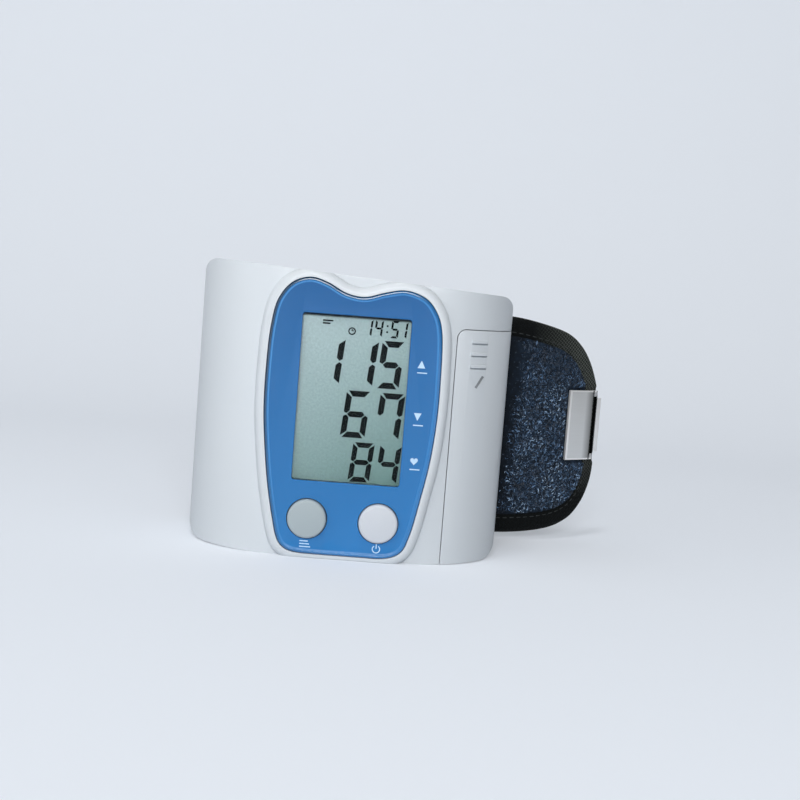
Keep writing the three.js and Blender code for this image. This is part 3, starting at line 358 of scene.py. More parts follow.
def rounded(corners, radius, count=8):
    """A polygon with its corners rounded by one radius."""
    points = []
    for i, corner in enumerate(corners):
        here = Vector(corner)
        back = (Vector(corners[i - 1]) - here).normalized()
        on = (Vector(corners[(i + 1) % len(corners)]) - here).normalized()
        half = back.angle(on) / 2
        centre = here + (back + on).normalized() * radius / math.sin(half)
        start = here + back * radius / math.tan(half) - centre
        end = here + on * radius / math.tan(half) - centre
        first = math.atan2(start.y, start.x)
        sweep = math.atan2(start.x * end.y - start.y * end.x, start.dot(end))
        points += arc(centre.x, centre.y, radius, radius, first, first + sweep, count)
    return points


def box_loop(left, right, low, high, radius=0.0, count=8):
    corners = [(left, low), (right, low), (right, high), (left, high)]
    return rounded(corners, radius, count) if radius else corners


def grown(loop, distance):
    """A closed outline, counter-clockwise, moved outwards point by point."""
    points = np.array(loop)
    along = np.roll(points, -1, axis=0) - np.roll(points, 1, axis=0)
    along /= np.linalg.norm(along, axis=1)[:, None]
    moved = points + distance * np.stack([along[:, 1], -along[:, 0]], axis=1)
    return [tuple(at) for at in moved]


def smooth_loop(knots, count):
    """A closed centripetal curve through knots, at even distances."""
    knots = np.array(knots)
    dense = []
    total = len(knots)
    for i in range(total):
        p = [knots[(i + k - 1) % total] for k in range(4)]
        t = [0.0]
        for k in range(3):
            t.append(t[-1] + np.linalg.norm(p[k + 1] - p[k]) ** 0.5)
        for u in np.linspace(t[1], t[2], 24, endpoint=False):
            a = [((t[k + 1] - u) * p[k] + (u - t[k]) * p[k + 1]) / (t[k + 1] - t[k]) for k in range(3)]
            b = [((t[k + 2] - u) * a[k] + (u - t[k]) * a[k + 1]) / (t[k + 2] - t[k]) for k in range(2)]
            dense.append(((t[2] - u) * b[0] + (u - t[1]) * b[1]) / (t[2] - t[1]))
    dense = np.array(dense + [dense[0]])
    run = np.concatenate([[0], np.cumsum(np.linalg.norm(np.diff(dense, axis=0), axis=1))])
    places = np.linspace(0, run[-1], count, endpoint=False)
    return [(float(np.interp(s, run, dense[:, 0])), float(np.interp(s, run, dense[:, 1]))) for s in places]


def from_curve(name, curve, loops):
    """A mesh from a curve with its settings and its closed loops of places."""
    for loop in loops:
        spline = curve.splines.new("POLY")
        spline.points.add(len(loop) - 1)
        for spot, place in zip(spline.points, loop):
            spot.co = (*place, 1)
        spline.use_cyclic_u = True
    obj = bpy.data.objects.new(name, curve)
    bpy.context.collection.objects.link(obj)
    use(obj)
    bpy.ops.object.convert(target="MESH")
    return bpy.context.object


def slab(name, loops, low, high, edge=0.0, rounds=5):
    """A plate between two heights from closed outlines, its edges rounded."""
    curve = bpy.data.curves.new(name, "CURVE")
    curve.dimensions = "2D"
    curve.fill_mode = "BOTH"
    curve.extrude = (high - low) / 2 - edge
    curve.bevel_depth = edge
    curve.bevel_resolution = rounds
    curve.offset = -edge
    obj = from_curve(name, curve, [[(x, y, 0) for x, y in loop] for loop in loops])
    obj.location.z = (low + high) / 2
    return clean(settle(obj))


def panel(name, loops, front, back, edge=0.0, rounds=5):
    """A plate that faces the viewer: outlines in X and Z, from front to back along Y."""
    obj = slab(name, loops, -back, -front, edge, rounds)
    obj.rotation_euler.x = QUARTER
    return settle(obj)


def block(name, x, y, z):
    bpy.ops.mesh.primitive_cube_add(size=1, location=[(a + b) / 2 for a, b in (x, y, z)])
    obj = bpy.context.object
    obj.name = name
    obj.scale = [b - a for a, b in (x, y, z)]
    return settle(obj)


def mesh_object(name, vertices, faces, edges=()):
    mesh = bpy.data.meshes.new(name)
    mesh.from_pydata([tuple(v) for v in vertices], edges, faces)
    obj = bpy.data.objects.new(name, mesh)
    bpy.context.collection.objects.link(obj)
    return obj


def tube_faces(first, rings, sides):
    """The faces of a closed tube, whose rings of points follow each other from one index on."""
    faces = []
    for i in range(rings - 1):
        for k in range(sides):
            a, b = first + i * sides + k, first + i * sides + (k + 1) % sides
            faces.append((a, b, b + sides, a + sides))
    faces.append(tuple(first + k for k in reversed(range(sides))))
    faces.append(tuple(first + (rings - 1) * sides + k for k in range(sides)))
    return faces


def stepped_plate(name, loop, profile):
    """A plate whose front follows a profile: pairs of how far in from the outline, and depth."""
    rings = [grown(loop, -inset) for inset, _ in profile]
    vertices = [(x, y, z) for ring, (_, y) in zip(rings, profile) for x, z in ring]
    return turn_outwards(mesh_object(name, vertices, tube_faces(0, len(profile), len(loop))))


def turned(name, profile, x, z):
    """A round piece about a line along Y, from pairs of radius and depth."""
    edges = [(i, i + 1) for i in range(len(profile) - 1)]
    obj = mesh_object(name, [(x + r, y, z) for r, y in profile], [], edges)
    edit(obj)
    bpy.ops.mesh.spin(steps=72, angle=2 * math.pi, center=(x, 0, z), axis=(0, 1, 0))
    done()
    return clean(obj)


# Materials


class Nodes:
    """Short ways to add nodes to one tree."""

    def __init__(self, tree):
        self.tree = tree

    def link(self, source, target):
        self.tree.links.new(source, target)

    def fill(self, socket, value):
        """Links a socket to another one, or sets its value."""
        if isinstance(value, bpy.types.NodeSocket):
            self.link(value, socket)
        else:
            socket.default_value = value

    def node(self, kind, **inputs):
        node = self.tree.nodes.new(kind)
        for key, value in inputs.items():
            self.fill(node.inputs[key.replace("_", " ")], value)
        return node

    def maths(self, operation, *values, clamp=False):
        node = self.node("ShaderNodeMath")
        node.operation = operation
        node.use_clamp = clamp
        for socket, value in zip(node.inputs, values):
            self.fill(socket, value)
        return node.outputs[0]

    def place(self, scale=(1, 1, 1), rotation=(0, 0, 0), kind="Object"):
        where = self.node("ShaderNodeTexCoord").outputs[kind]
        node = self.node("ShaderNodeMapping", Vector=where, Scale=scale, Rotation=rotation)
        return node.outputs["Vector"]

    def axes(self, where):
        return self.node("ShaderNodeSeparateXYZ", Vector=where).outputs

    def noise(self, where, scale, detail, roughness=0.5):
        inputs = {"Scale": scale, "Detail": detail, "Roughness": roughness}
        return self.node("ShaderNodeTexNoise", Vector=where, **inputs).outputs["Fac"]

    def ramp(self, factor, stops):
        """A ramp through stops: pairs of a place and a colour or a shade of grey."""
        node = self.node("ShaderNodeValToRGB", Fac=factor)
        elements = node.color_ramp.elements
        while len(elements) < len(stops):
            elements.new(0.5)
        for element, (at, tone) in zip(elements, stops):
            element.position = at
            element.color = (*tone, 1) if isinstance(tone, tuple) else (tone, tone, tone, 1)
        return node.outputs["Color"]

    def mix(self, factor, first, second, blend="MIX"):
        """Two colours mixed by a factor, each of the three a value or a socket."""
        node = self.node("ShaderNodeMix")
        node.data_type = "RGBA"
        node.blend_type = blend
        self.fill(node.inputs[0], factor)
        for key, value in ((6, first), (7, second)):
            self.fill(node.inputs[key], value if isinstance(value, bpy.types.NodeSocket) else (*value, 1))
        return node.outputs[2]

    def group(self, tree, **inputs):
        node = self.node("ShaderNodeGroup")
        node.node_tree = tree
        for key, value in inputs.items():
            self.fill(node.inputs[key], value)
        return node.outputs


class Finish(Nodes):
    """A material with its shader."""

    def __init__(self, name, base, roughness):
        self.material = bpy.data.materials.new(name)
        self.material.use_nodes = True
        super().__init__(self.material.node_tree)
        self.shader = self.tree.nodes["Principled BSDF"]
        self.set(Base_Color=(*base, 1), Roughness=roughness)

    def set(self, **inputs):
        """Sets or links inputs of the shader."""
        for key, value in inputs.items():
            self.fill(self.shader.inputs[key.replace("_", " ")], value)

    def tone(self):
        """What feeds the base colour so far."""
        return self.shader.inputs["Base Color"].links[0].from_socket

    def bump(self, height, strength, distance):
        node = self.node("ShaderNodeBump", Strength=strength, Distance=distance, Height=height)
        self.set(Normal=node.outputs["Normal"])


def group_nodes(name, amount, default, outputs):
    """A shader node group that takes a place and one amount, with what comes in and goes out."""
    tree = bpy.data.node_groups.new(name, "ShaderNodeTree")
    tree.interface.new_socket("Vector", in_out="INPUT", socket_type="NodeSocketVector")
    tree.interface.new_socket(amount, in_out="INPUT", socket_type="NodeSocketFloat").default_value = default
    for label in outputs:
        tree.interface.new_socket(label, in_out="OUTPUT", socket_type="NodeSocketFloat")
    nodes = Nodes(tree)
    return nodes, nodes.node("NodeGroupInput").outputs, nodes.node("NodeGroupOutput").inputs


def grain_group():
    """Moulded grain: a fine height, a slow change of shade and faint wear."""
    nodes, given, out = group_nodes("Moulded grain", "Fine", 2600.0, ("Height", "Shade", "Wear"))
    nodes.link(nodes.noise(given["Vector"], given["Fine"], 3), out["Height"])
    nodes.link(nodes.noise(given["Vector"], 45, 4), out["Shade"])
    nodes.link(nodes.noise(given["Vector"], 160, 6, 0.75), out["Wear"])
    return nodes.tree


def weave_group():
    """Plain weave: two crossed threads that go over and under each other."""
    nodes, given, out = group_nodes("Plain weave", "Threads", 1600.0, ("Height", "Shade"))
    scaled = nodes.node("ShaderNodeVectorMath")
    scaled.operation = "SCALE"
    nodes.link(given["Vector"], scaled.inputs[0])
    nodes.link(given["Threads"], scaled.inputs["Scale"])
    axes = nodes.axes(scaled.outputs[0])
    waves = [nodes.maths("SINE", nodes.maths("MULTIPLY", axes[axis], math.pi)) for axis in ("X", "Y")]
    over = nodes.maths("GREATER_THAN", nodes.maths("MULTIPLY", *waves), 0.0)
    warp, weft = (nodes.maths("ABSOLUTE", wave) for wave in waves)
    below = nodes.maths("MULTIPLY", nodes.maths("SUBTRACT", 1.0, over), weft)
    nodes.link(nodes.maths("MULTIPLY_ADD", over, warp, below), out["Height"])
    nodes.link(nodes.noise(given["Vector"], 90, 5), out["Shade"])
    return nodes.tree


def shade(base, factor):
    return tuple(min(1.0, channel * factor) for channel in base)


def moulded(name, base, roughness, grain, spread, fine=2600.0):
    """Moulded plastic or rubber with grain, slow changes of shade and faint wear."""
    finish = Finish(name, base, roughness)
    grained = finish.group(GROUP["grain"], Vector=finish.place(), Fine=fine)
    finish.set(
        Base_Color=finish.mix(grained["Shade"], shade(base, 1 - spread), shade(base, 1 + spread)),
        Roughness=finish.maths("MULTIPLY_ADD", grained["Wear"], 0.16, roughness - 0.08),
    )
    finish.bump(grained["Height"], grain, 0.03 * MM)
    return finish


def cloth(name, base, threads, thread_tone=1.8, strength=0.5, turn=0.0):
    """Woven cloth, with its threads along the piece's own UV map."""
    finish = Finish(name, base, 0.86)
    where = finish.place(rotation=(0, 0, turn), kind="UV")
    finish.weave = finish.group(GROUP["weave"], Vector=where, Threads=threads)
    tone = finish.mix(finish.weave["Height"], shade(base, 0.45), shade(base, thread_tone))
    varied = finish.mix(finish.weave["Shade"], shade(base, 0.6), shade(base, 1.5))
    finish.set(
        Base_Color=finish.mix(0.4, tone, varied), Sheen_Weight=0.02, Sheen_Roughness=0.5,
        Specular_IOR_Level=0.12,
    )
    finish.bump(finish.weave["Height"], strength, 0.12 * MM)
    return finish


def metal(name, base, roughness, share=1.0):
    """Plated or brushed metal with fine drawn lines."""
    finish = Finish(name, base, roughness)
    drawn = finish.noise(finish.place(scale=(60, 60, 2600)), 1, 4)
    finish.set(
        Metallic=share,
        Roughness=finish.ramp(drawn, [(0.3, roughness * 0.93), (0.7, roughness * 1.08)]),
        Base_Color=finish.mix(drawn, shade(base, 0.95), shade(base, 1.04)),
    )
    finish.bump(drawn, 0.02, 0.004 * MM)
    return finish


GROUP = {}
FINISH = {}


def paint(obj, finish):
    """Gives an object one material."""
    obj.data.materials.clear()
    obj.data.materials.append(finish.material)
    return obj


def paint_node(node, finish):
    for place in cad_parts[node].material_slots:
        place.material = finish.material


def hand_over(obj, body, slot, *nodes):
    """Rides a finished piece on its body and hides the nodes that it stands for. The slot is not used."""
    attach(obj, body)
    if nodes:
        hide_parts(*nodes)
    return obj


def blend_root(obj, line):
    """Puts a soft piece's place into its mesh; its root is not bent."""
    place, _ = line(0)
    ahead, _ = line(5 * MM)
    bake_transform(obj)


# Outlines that several pieces share


def depth_y(depth):
    """Where a depth behind the shell's flat front lies."""
    return bpy.context.scene.monitor_shell.front_y + depth


def housing_loop(inset, corner):
    """The shell seen from above, without the hollow for the wrist."""
    shell = bpy.context.scene.monitor_shell
    side = shell.width / 2 - inset
    rear = REAR_BOX[1][1] - inset
    flat = shell.flat_width / 2
    bend = depth_y(shell.side_depth)
    front = arc(flat, bend, side - flat, shell.side_depth - inset, -QUARTER, 0, 44)
    back = arc(side - corner, rear - corner, corner, corner, 0, QUARTER, 8)
    right = front + back
    return right + [(-x, y) for x, y in reversed(right)]


def front_loop(inset):
    """The shell seen from the front: the top edge falls to the right, the foot lifts at both ends."""
    shell = bpy.context.scene.monitor_shell
    side = shell.width / 2 - inset
    tops = [shell.height - inset - shell.top_fall * x for x in (side, -side)]
    foot = inset + shell.foot_lift
    corners = [(-side, foot), (-0.5 * side, inset), (0.5 * side, inset), (side, foot), (side, tops[0]),
               (-side, tops[1])]
    return rounded(corners, shell.corner - inset, 12)


# The face plate's outline: two unequal humps at the top, tapering to a round foot.
# Each pair is a share of the half width and of the height above the foot.
FACE_SHARES = (
    (0.0, 0.0), (0.25, 0.0), (0.47, 0.001), (0.6, 0.0095), (0.68, 0.024), (0.732, 0.045), (0.765, 0.073),
    (0.806, 0.118), (0.872, 0.222), (0.948, 0.356), (0.993, 0.51),
    (1.0, 0.648), (0.968, 0.845), (0.9, 0.905), (0.77, 0.952), (0.53, 0.976), (0.3, 0.963), (0.07, 0.942),
    (-0.14, 0.951), (-0.36, 0.985), (-0.557, 1.0), (-0.76, 0.978), (-0.91, 0.915), (-0.974, 0.82),
    (-0.998, 0.672), (-0.993, 0.52), (-0.956, 0.392), (-0.887, 0.238), (-0.803, 0.113), (-0.757, 0.059),
    (-0.704, 0.028), (-0.625, 0.0105), (-0.53, 0.003), (-0.25, 0.0),
)


def face_loop():
    half = bpy.context.scene.monitor_face.width / 2
    low = PLATE_BOX[0][2]
    high = span(PLATE_BOX, 2)
    return smooth_loop([(x * half, low + z * high) for x, z in FACE_SHARES], 260)


def display_loop(margin):
    corner = bpy.context.scene.monitor_display.aperture_corner
    high = LCD_BOX[1][2] + margin + bpy.context.scene.monitor_display.strip
    return box_loop(LCD_BOX[0][0] - margin, LCD_BOX[1][0] + margin, LCD_BOX[0][2] - margin, high, corner)


BUTTON_PLACES = {name: (middle(box, 0), middle(box, 2)) for name, box in BUTTON_BOXES.items()}
# heights, depths and sides well past the monitor, for tools
TALL = (-20 * MM, 100 * MM)
AHEAD, PAST = -40 * MM, 60 * MM
# how deep the openings for the display and the buttons are cut into the shell, and how deep the
# raised border round the face plate is rooted in it
OPENING_DEPTH, BORDER_DEPTH = 5 * MM, 3 * MM
# where the screws sit, and the radius and floor of their sinks
SCREW_SIDE, SCREW_HEIGHTS, SCREW_SINK, SCREW_FLOOR = 18.3 * MM, (6 * MM, 64.7 * MM), 2.3 * MM, 18.6 * MM
# room round a button, and the inner rounding of tools
PLAY, INNER_ROUND = 0.25 * MM, 1.2 * MM


def wrist_tool(radius):
    shell = bpy.context.scene.monitor_shell
    return slab("wrist tool", [circle(0, shell.wrist_y, radius, 180)], *TALL)


def shell_solid(name, inset, corner, edge):
    """The shell's outer or inner form, full, with the hollow for the wrist."""
    shell = bpy.context.scene.monitor_shell
    solid = slab(name, [housing_loop(inset, corner)], *TALL)
    combine(solid, panel("front tool", [front_loop(inset)], AHEAD, PAST), "INTERSECT")
    combine(solid, wrist_tool(shell.wrist_radius + inset))
    if edge:
        soften(solid, edge, 4)
    return solid


def door_tool(grow):
    """The region of the battery door, seen from the front."""
    door = bpy.context.scene.monitor_door
    shell = bpy.context.scene.monitor_shell
    low = door.base - (20 * MM if grow else 0)
    left, high, corner = door.edge_x - grow, door.top + grow, door.corner + grow
    turned_in = arc(left + corner, high - corner, corner, corner, QUARTER, 2 * QUARTER, 10)
    loop = [(left, low), (PAST, low), (PAST, high), *turned_in]
    region = panel("door region", [loop], AHEAD, door.rear_y + grow)
    return combine(region, wrist_tool(shell.wrist_radius + 2 * shell.wall))


class MonitorOperator:
    bl_options = {"REGISTER", "UNDO"}


class MONITOR_OT_housing(MonitorOperator, bpy.types.Operator):
    """Both halves of the pale shell, with the raised border round the face plate"""

    bl_idname = "monitor.housing"
    bl_label = "Housing"

    def execute(self, context):
        shell = context.scene.monitor_shell
        plate_front = PLATE_BOX[0][1]
        seat = PLATE_BOX[1][1]
        solid = shell_solid("front_shell", 0, shell.rear_corner, shell.edge)
        core = shell_solid("core", shell.wall, shell.rear_corner - shell.wall + 0.4 * MM, 0)
        combine(solid, core)
        rear = copied(solid, "rear_shell")

        parting = depth_y(shell.parting_depth)
        sides = (-PAST, PAST)
        ahead = block("ahead", sides, (-PAST, parting - shell.seam / 2), TALL)
        combine(ahead, wrist_tool(shell.wrist_radius + shell.wall + 0.3 * MM))
        combine(solid, ahead, "INTERSECT")
        behind = block("behind", sides, (-PAST, parting + shell.seam / 2), TALL)
        combine(behind, wrist_tool(shell.wrist_radius + shell.wall + 0.05 * MM))
        combine(rear, behind)

        border = panel("border", [grown(face_loop(), shell.collar)], plate_front, depth_y(BORDER_DEPTH),
                       shell.collar_round, 9)
        limit = panel("border limit", [front_loop(0)], plate_front, depth_y(20 * MM), 0.45 * shell.edge)
        combine(border, limit, "INTERSECT")
        combine(solid, border, "UNION")
        combine(solid, panel("sight", [display_loop(0.3 * MM)], AHEAD, depth_y(OPENING_DEPTH)))
        radius = context.scene.monitor_buttons.radius + PLAY
        for x, z in BUTTON_PLACES.values():
            combine(solid, panel("key hole", [circle(x, z, radius)], AHEAD, depth_y(OPENING_DEPTH)))
        combine(solid, panel("pocket", [grown(face_loop(), shell.plate_gap)], AHEAD - 1 * MM, seat))
        for half in (solid, rear):
            way = door_tool(context.scene.monitor_door.gap)
            combine(way, shell_solid("way core", shell.wall + 0.07 * MM, INNER_ROUND, 0))
            combine(half, way)
        for x in (-SCREW_SIDE, SCREW_SIDE):
            for z in SCREW_HEIGHTS:
                sink = panel("screw sink", [circle(x, z, SCREW_SINK, 40)], depth_y(SCREW_FLOOR), PAST)
                combine(rear, sink)
        for half in (solid, rear):
            smooth(half, 32)
            paint(half, FINISH["shell"])
        hand_over(solid, "housing", "shell", "front_housing")
        hand_over(rear, "housing", "shell", "rear_housing")
        return {"FINISHED"}


# The plate's rounded edge: pairs of how far in from the outline and how far behind its front, in
# millimetres. The lip's slope follows: how far before its inner edge, and the share of its rise.
PLATE_EDGE = ((0, 0.5), (0.04, 0.34), (0.12, 0.19), (0.26, 0.07), (0.44, 0.015), (0.62, 0))
LIP_SLOPE = ((0.55, 0.12), (0.38, 0.4), (0.12, 0.85), (0, 1))
# which rows of the rim each finish covers: painted shade on the edge, a matt slope, and a painted highlight
# on the lip
RIM_ROWS = {"edge_painted_shade": (0, 6), "lip_slope": (7, 10), "lip_painted_highlight": (8, 9)}
# heights of the three marks beside the display
MARK_HEIGHTS = (50.6 * MM, 37.5 * MM, 26.4 * MM)


class MONITOR_OT_face_plate(MonitorOperator, bpy.types.Operator):
    """The glossy blue plate with its openings and printed marks"""

    bl_idname = "monitor.face_plate"
    bl_label = "Face plate"

    def execute(self, context):
        face = context.scene.monitor_face
        front, seat = PLATE_BOX[0][1], PLATE_BOX[1][1]
        profile = [(0, seat)]
        profile += [(inset * MM, front + depth * MM) for inset, depth in PLATE_EDGE]
        profile += [(face.lip - before * MM, front + share * face.lip_rise) for before, share in LIP_SLOPE]
        plate = stepped_plate("face_plate_gloss", face_loop(), profile)
        paint(plate, FINISH["blue"])
        across = len(face_loop())
        for finish, (first, last) in RIM_ROWS.items():
            plate.data.materials.append(FINISH[finish].material)
            for polygon in plate.data.polygons[first * across : last * across]:
                polygon.material_index = len(plate.data.materials) - 1
        combine(plate, panel("sight", [display_loop(0)], AHEAD, 20 * MM))
        combine(plate, panel("rebate", [display_loop(1.15 * MM)], front + 0.55 * MM, 20 * MM))
        radius = context.scene.monitor_buttons.radius + PLAY
        for x, z in BUTTON_PLACES.values():
            combine(plate, panel("key hole", [circle(x, z, radius)], AHEAD, 20 * MM))
        smooth(plate, 50)
        hand_over(plate, "housing", "blue", "face_plate")
        self.marks(context, front + face.lip_rise)
        return {"FINISHED"}

    def marks(self, context, front):
        """Plain marks beside the display and under the buttons."""
        half = context.scene.monitor_face.mark_size / 2
        line = 0.28 * MM
        column = LCD_BOX[1][0] + 3.2 * MM
        left, right = column - half, column + half
        top, centre, foot = MARK_HEIGHTS
        heart = []
        for t in np.linspace(0, 2 * math.pi, 40, endpoint=False):
            rise = 13 * math.cos(t) - 5 * math.cos(2 * t) - 2 * math.cos(3 * t) - math.cos(4 * t)
            heart.append((column + half * math.sin(t) ** 3, foot + half * rise / 15))
        loops = [[(left, top - half), (right, top - half), (column, top + half)],
                 [(left, centre + half), (column, centre - half), (right, centre + half)], heart]
        for z in MARK_HEIGHTS:
            low = z - half - 1.3 * MM
            loops.append(box_loop(left, column + 1.6 * half, low, low + line))
        # a list of three lines under the left button, a ring with a stroke under the right one
        x, _ = BUTTON_PLACES["memory_button"]
        for i in range(3):
            low = (2.7 + i * 0.72) * MM
            loops.append(box_loop(x - 1.4 * MM, x + (1.4 - 0.35 * i) * MM, low, low + line))
        x, _ = BUTTON_PLACES["power_button"]
        ring_z, start, end = 3.5 * MM, math.radians(125), math.radians(415)
        ring = arc(x, ring_z, 1.05 * MM, 1.05 * MM, start, end, 32)
        inner = arc(x, ring_z, 0.8 * MM, 0.8 * MM, end, start, 32)
        loops += [ring + inner, box_loop(x - 0.13 * MM, x + 0.13 * MM, 3.6 * MM, 4.8 * MM)]
        marks = panel("face_marks", loops, front - 0.02 * MM, front + 0.02 * MM)
        paint(marks, FINISH["print"])
        hand_over(marks, "housing", "pale_button")


# Which of the seven segments each digit lights: top, upper right, lower right, bottom,
# lower left, upper left, middle
SEGMENTS = {"1": "bc", "4": "bcfg", "5": "acdfg", "6": "acdefg", "7": "abcf", "8": "abcdefg"}


def segment_loops(digit, x, z, width, height, stroke, slant):
    """The lit segments of one digit, leaning by the slant, about a middle place."""
    half_w, half_h = width / 2 - stroke / 2, height / 2 - stroke / 2
    ends = {
        "a": ((-half_w, half_h), (half_w, half_h)), "b": ((half_w, half_h), (half_w, 0)),
        "c": ((half_w, 0), (half_w, -half_h)), "d": ((half_w, -half_h), (-half_w, -half_h)),
        "e": ((-half_w, -half_h), (-half_w, 0)), "f": ((-half_w, 0), (-half_w, half_h)),
        "g": ((-half_w, 0), (half_w, 0)),
    }
    loops = []
    lean = math.tan(slant)
    for name in SEGMENTS[digit]:
        near, far = (Vector(end) for end in ends[name])
        if name in "bcef" and abs(near.y) > abs(far.y):
            near, far = far, near
        along = (far - near).normalized() * stroke
        near, far = near + along * 0.1, far - along * 0.1
        along /= 2
        side = Vector((-along.y, along.x))
        # the outer side of a segment runs on to the digit's corner, the inner one is drawn in
        outward = side if side.dot(near + far) > 0 else -side
        foot = [far - along - outward, near + along - outward]
        if name == "g":
            loop = [near, near + along - side, far - along - side, far, far - along + side,
                    near + along + side]
        elif name in "ad":
            loop = [near - along * 0.55 + outward, far + along * 0.55 + outward, *foot]
        else:
            loop = [near + along * 0.6 + outward, far + along * 0.55 + outward, *foot, near]
        loops.append([(x + at.x + at.y * lean, z + at.y) for at in loop])
    return loops


# The rows of numbers: text, places across, height, width and height of a digit, all in millimetres
# from the display's middle, and the share of the large segments' stroke.
DIGIT_ROWS = (
    ("115", (-5.85, 2.45, 9.1), 9.45, 5.8, 11.9, 0.98),
    ("67", (1.35, 9.8), -3.45, 6.2, 11.8, 0.94),
    ("84", (3.6, 10.4), -15.4, 5.4, 10.0, 0.82),
    ("1451", (2.9, 5.5, 9.5, 11.6), 18.35, 2.0, 4.3, 0.5 / 1.56),
)


class MONITOR_OT_display(MonitorOperator, bpy.types.Operator):
    """The display's glass, its grey-green panel and its dark digits"""

    bl_idname = "monitor.display"
    bl_label = "Display"

    def execute(self, context):
        display = context.scene.monitor_display
        centre = (middle(LCD_BOX, 0), middle(LCD_BOX, 2))
        loops = []
        for text, places, z, width, height, weight in DIGIT_ROWS:
            stroke = display.stroke * weight
            for digit, x in zip(text, places):
                loops += segment_loops(digit, centre[0] + x * MM, centre[1] + z * MM, width * MM,
                                       height * MM, stroke, display.slant)
        for rise in (-0.7, 0.8):
            dot = 0.22 * MM
            x, z = centre[0] + 7.6 * MM, centre[1] + (18.3 + rise) * MM
            loops.append(box_loop(x - dot, x + dot, z - dot, z + dot))
        # two short lines and a clock face to the left of the small numbers
        x, z = centre[0] - 7.2 * MM, centre[1] + 18.9 * MM
        loops.append(box_loop(x - 1.3 * MM, x + 1.3 * MM, z + 0.35 * MM, z + 0.7 * MM))
        loops.append(box_loop(x - 1.3 * MM, x + 0.6 * MM, z - 0.35 * MM, z))
        x, z = centre[0] - 1.1 * MM, centre[1] + 17.2 * MM
        loops += [circle(x, z, 0.95 * MM, 28), circle(x, z, 0.65 * MM, 28)]
        loops.append(box_loop(x - 0.12 * MM, x + 0.12 * MM, z, z + 0.5 * MM))
        loops.append(box_loop(x + 0.16 * MM, x + 0.45 * MM, z, z + 0.2 * MM))
        front = LCD_BOX[0][1]
        digits = panel("lcd_digits", loops, front - 0.12 * MM, front - 0.08 * MM)
        paint(digits, FINISH["digit"])
        hand_over(digits, "housing", "display")
        paint_node("lcd_panel", FINISH["display"])
        paint_node("display_window", FINISH["glass"])
        return {"FINISHED"}


class MONITOR_OT_buttons(MonitorOperator, bpy.types.Operator):
    """The two round rubber buttons"""

    bl_idname = "monitor.buttons"
    bl_label = "Buttons"

    def execute(self, context):
        buttons = context.scene.monitor_buttons
        slots = {"memory_button": "grey_button", "power_button": "pale_button"}
        for name, (x, z) in BUTTON_PLACES.items():
            top, back = BUTTON_BOXES[name][0][1], BUTTON_BOXES[name][1][1]
            radius, edge = buttons.radius, buttons.edge
            crown = 0.22 * MM
            flat = radius - edge
            profile = [(flat * share, top + crown * share**2) for share in np.linspace(0, 1, 9)]
            rim = arc(flat, top + crown + edge, edge, edge, -QUARTER, 0, 7)
            # behind the plate a flange holds the cap, and a plunger reaches the switch mat
            flange, wide, stem = depth_y(2.3 * MM), 5.7 * MM, 2 * MM
            profile += rim[1:] + [(radius, flange), (wide, flange), (wide, flange + 1 * MM),
                                  (stem, flange + 1 * MM), (stem, back), (0, back)]
            cap = smooth(turned(name + "_cap", profile, x, z), 40)
            paint(cap, FINISH[name])
            hand_over(cap, name, slots[name], name)
        return {"FINISHED"}


# The grip ribs: how far the first lies below the door's top, half the height of one and how far it
# reaches into the cover, then the lower edge, depth and extra length of the groove under it
FIRST_RIB, RIB_HALF, RIB_ROOT = 2.75 * MM, 0.45 * MM, 0.8 * MM
GROOVE_LOW, GROOVE_SINK, GROOVE_LONGER = 0.85 * MM, 0.4 * MM, 0.2 * MM
# How far a stroke of the arrow runs across and up
ARROW_RUN = (1.75 * MM, 3.0 * MM)


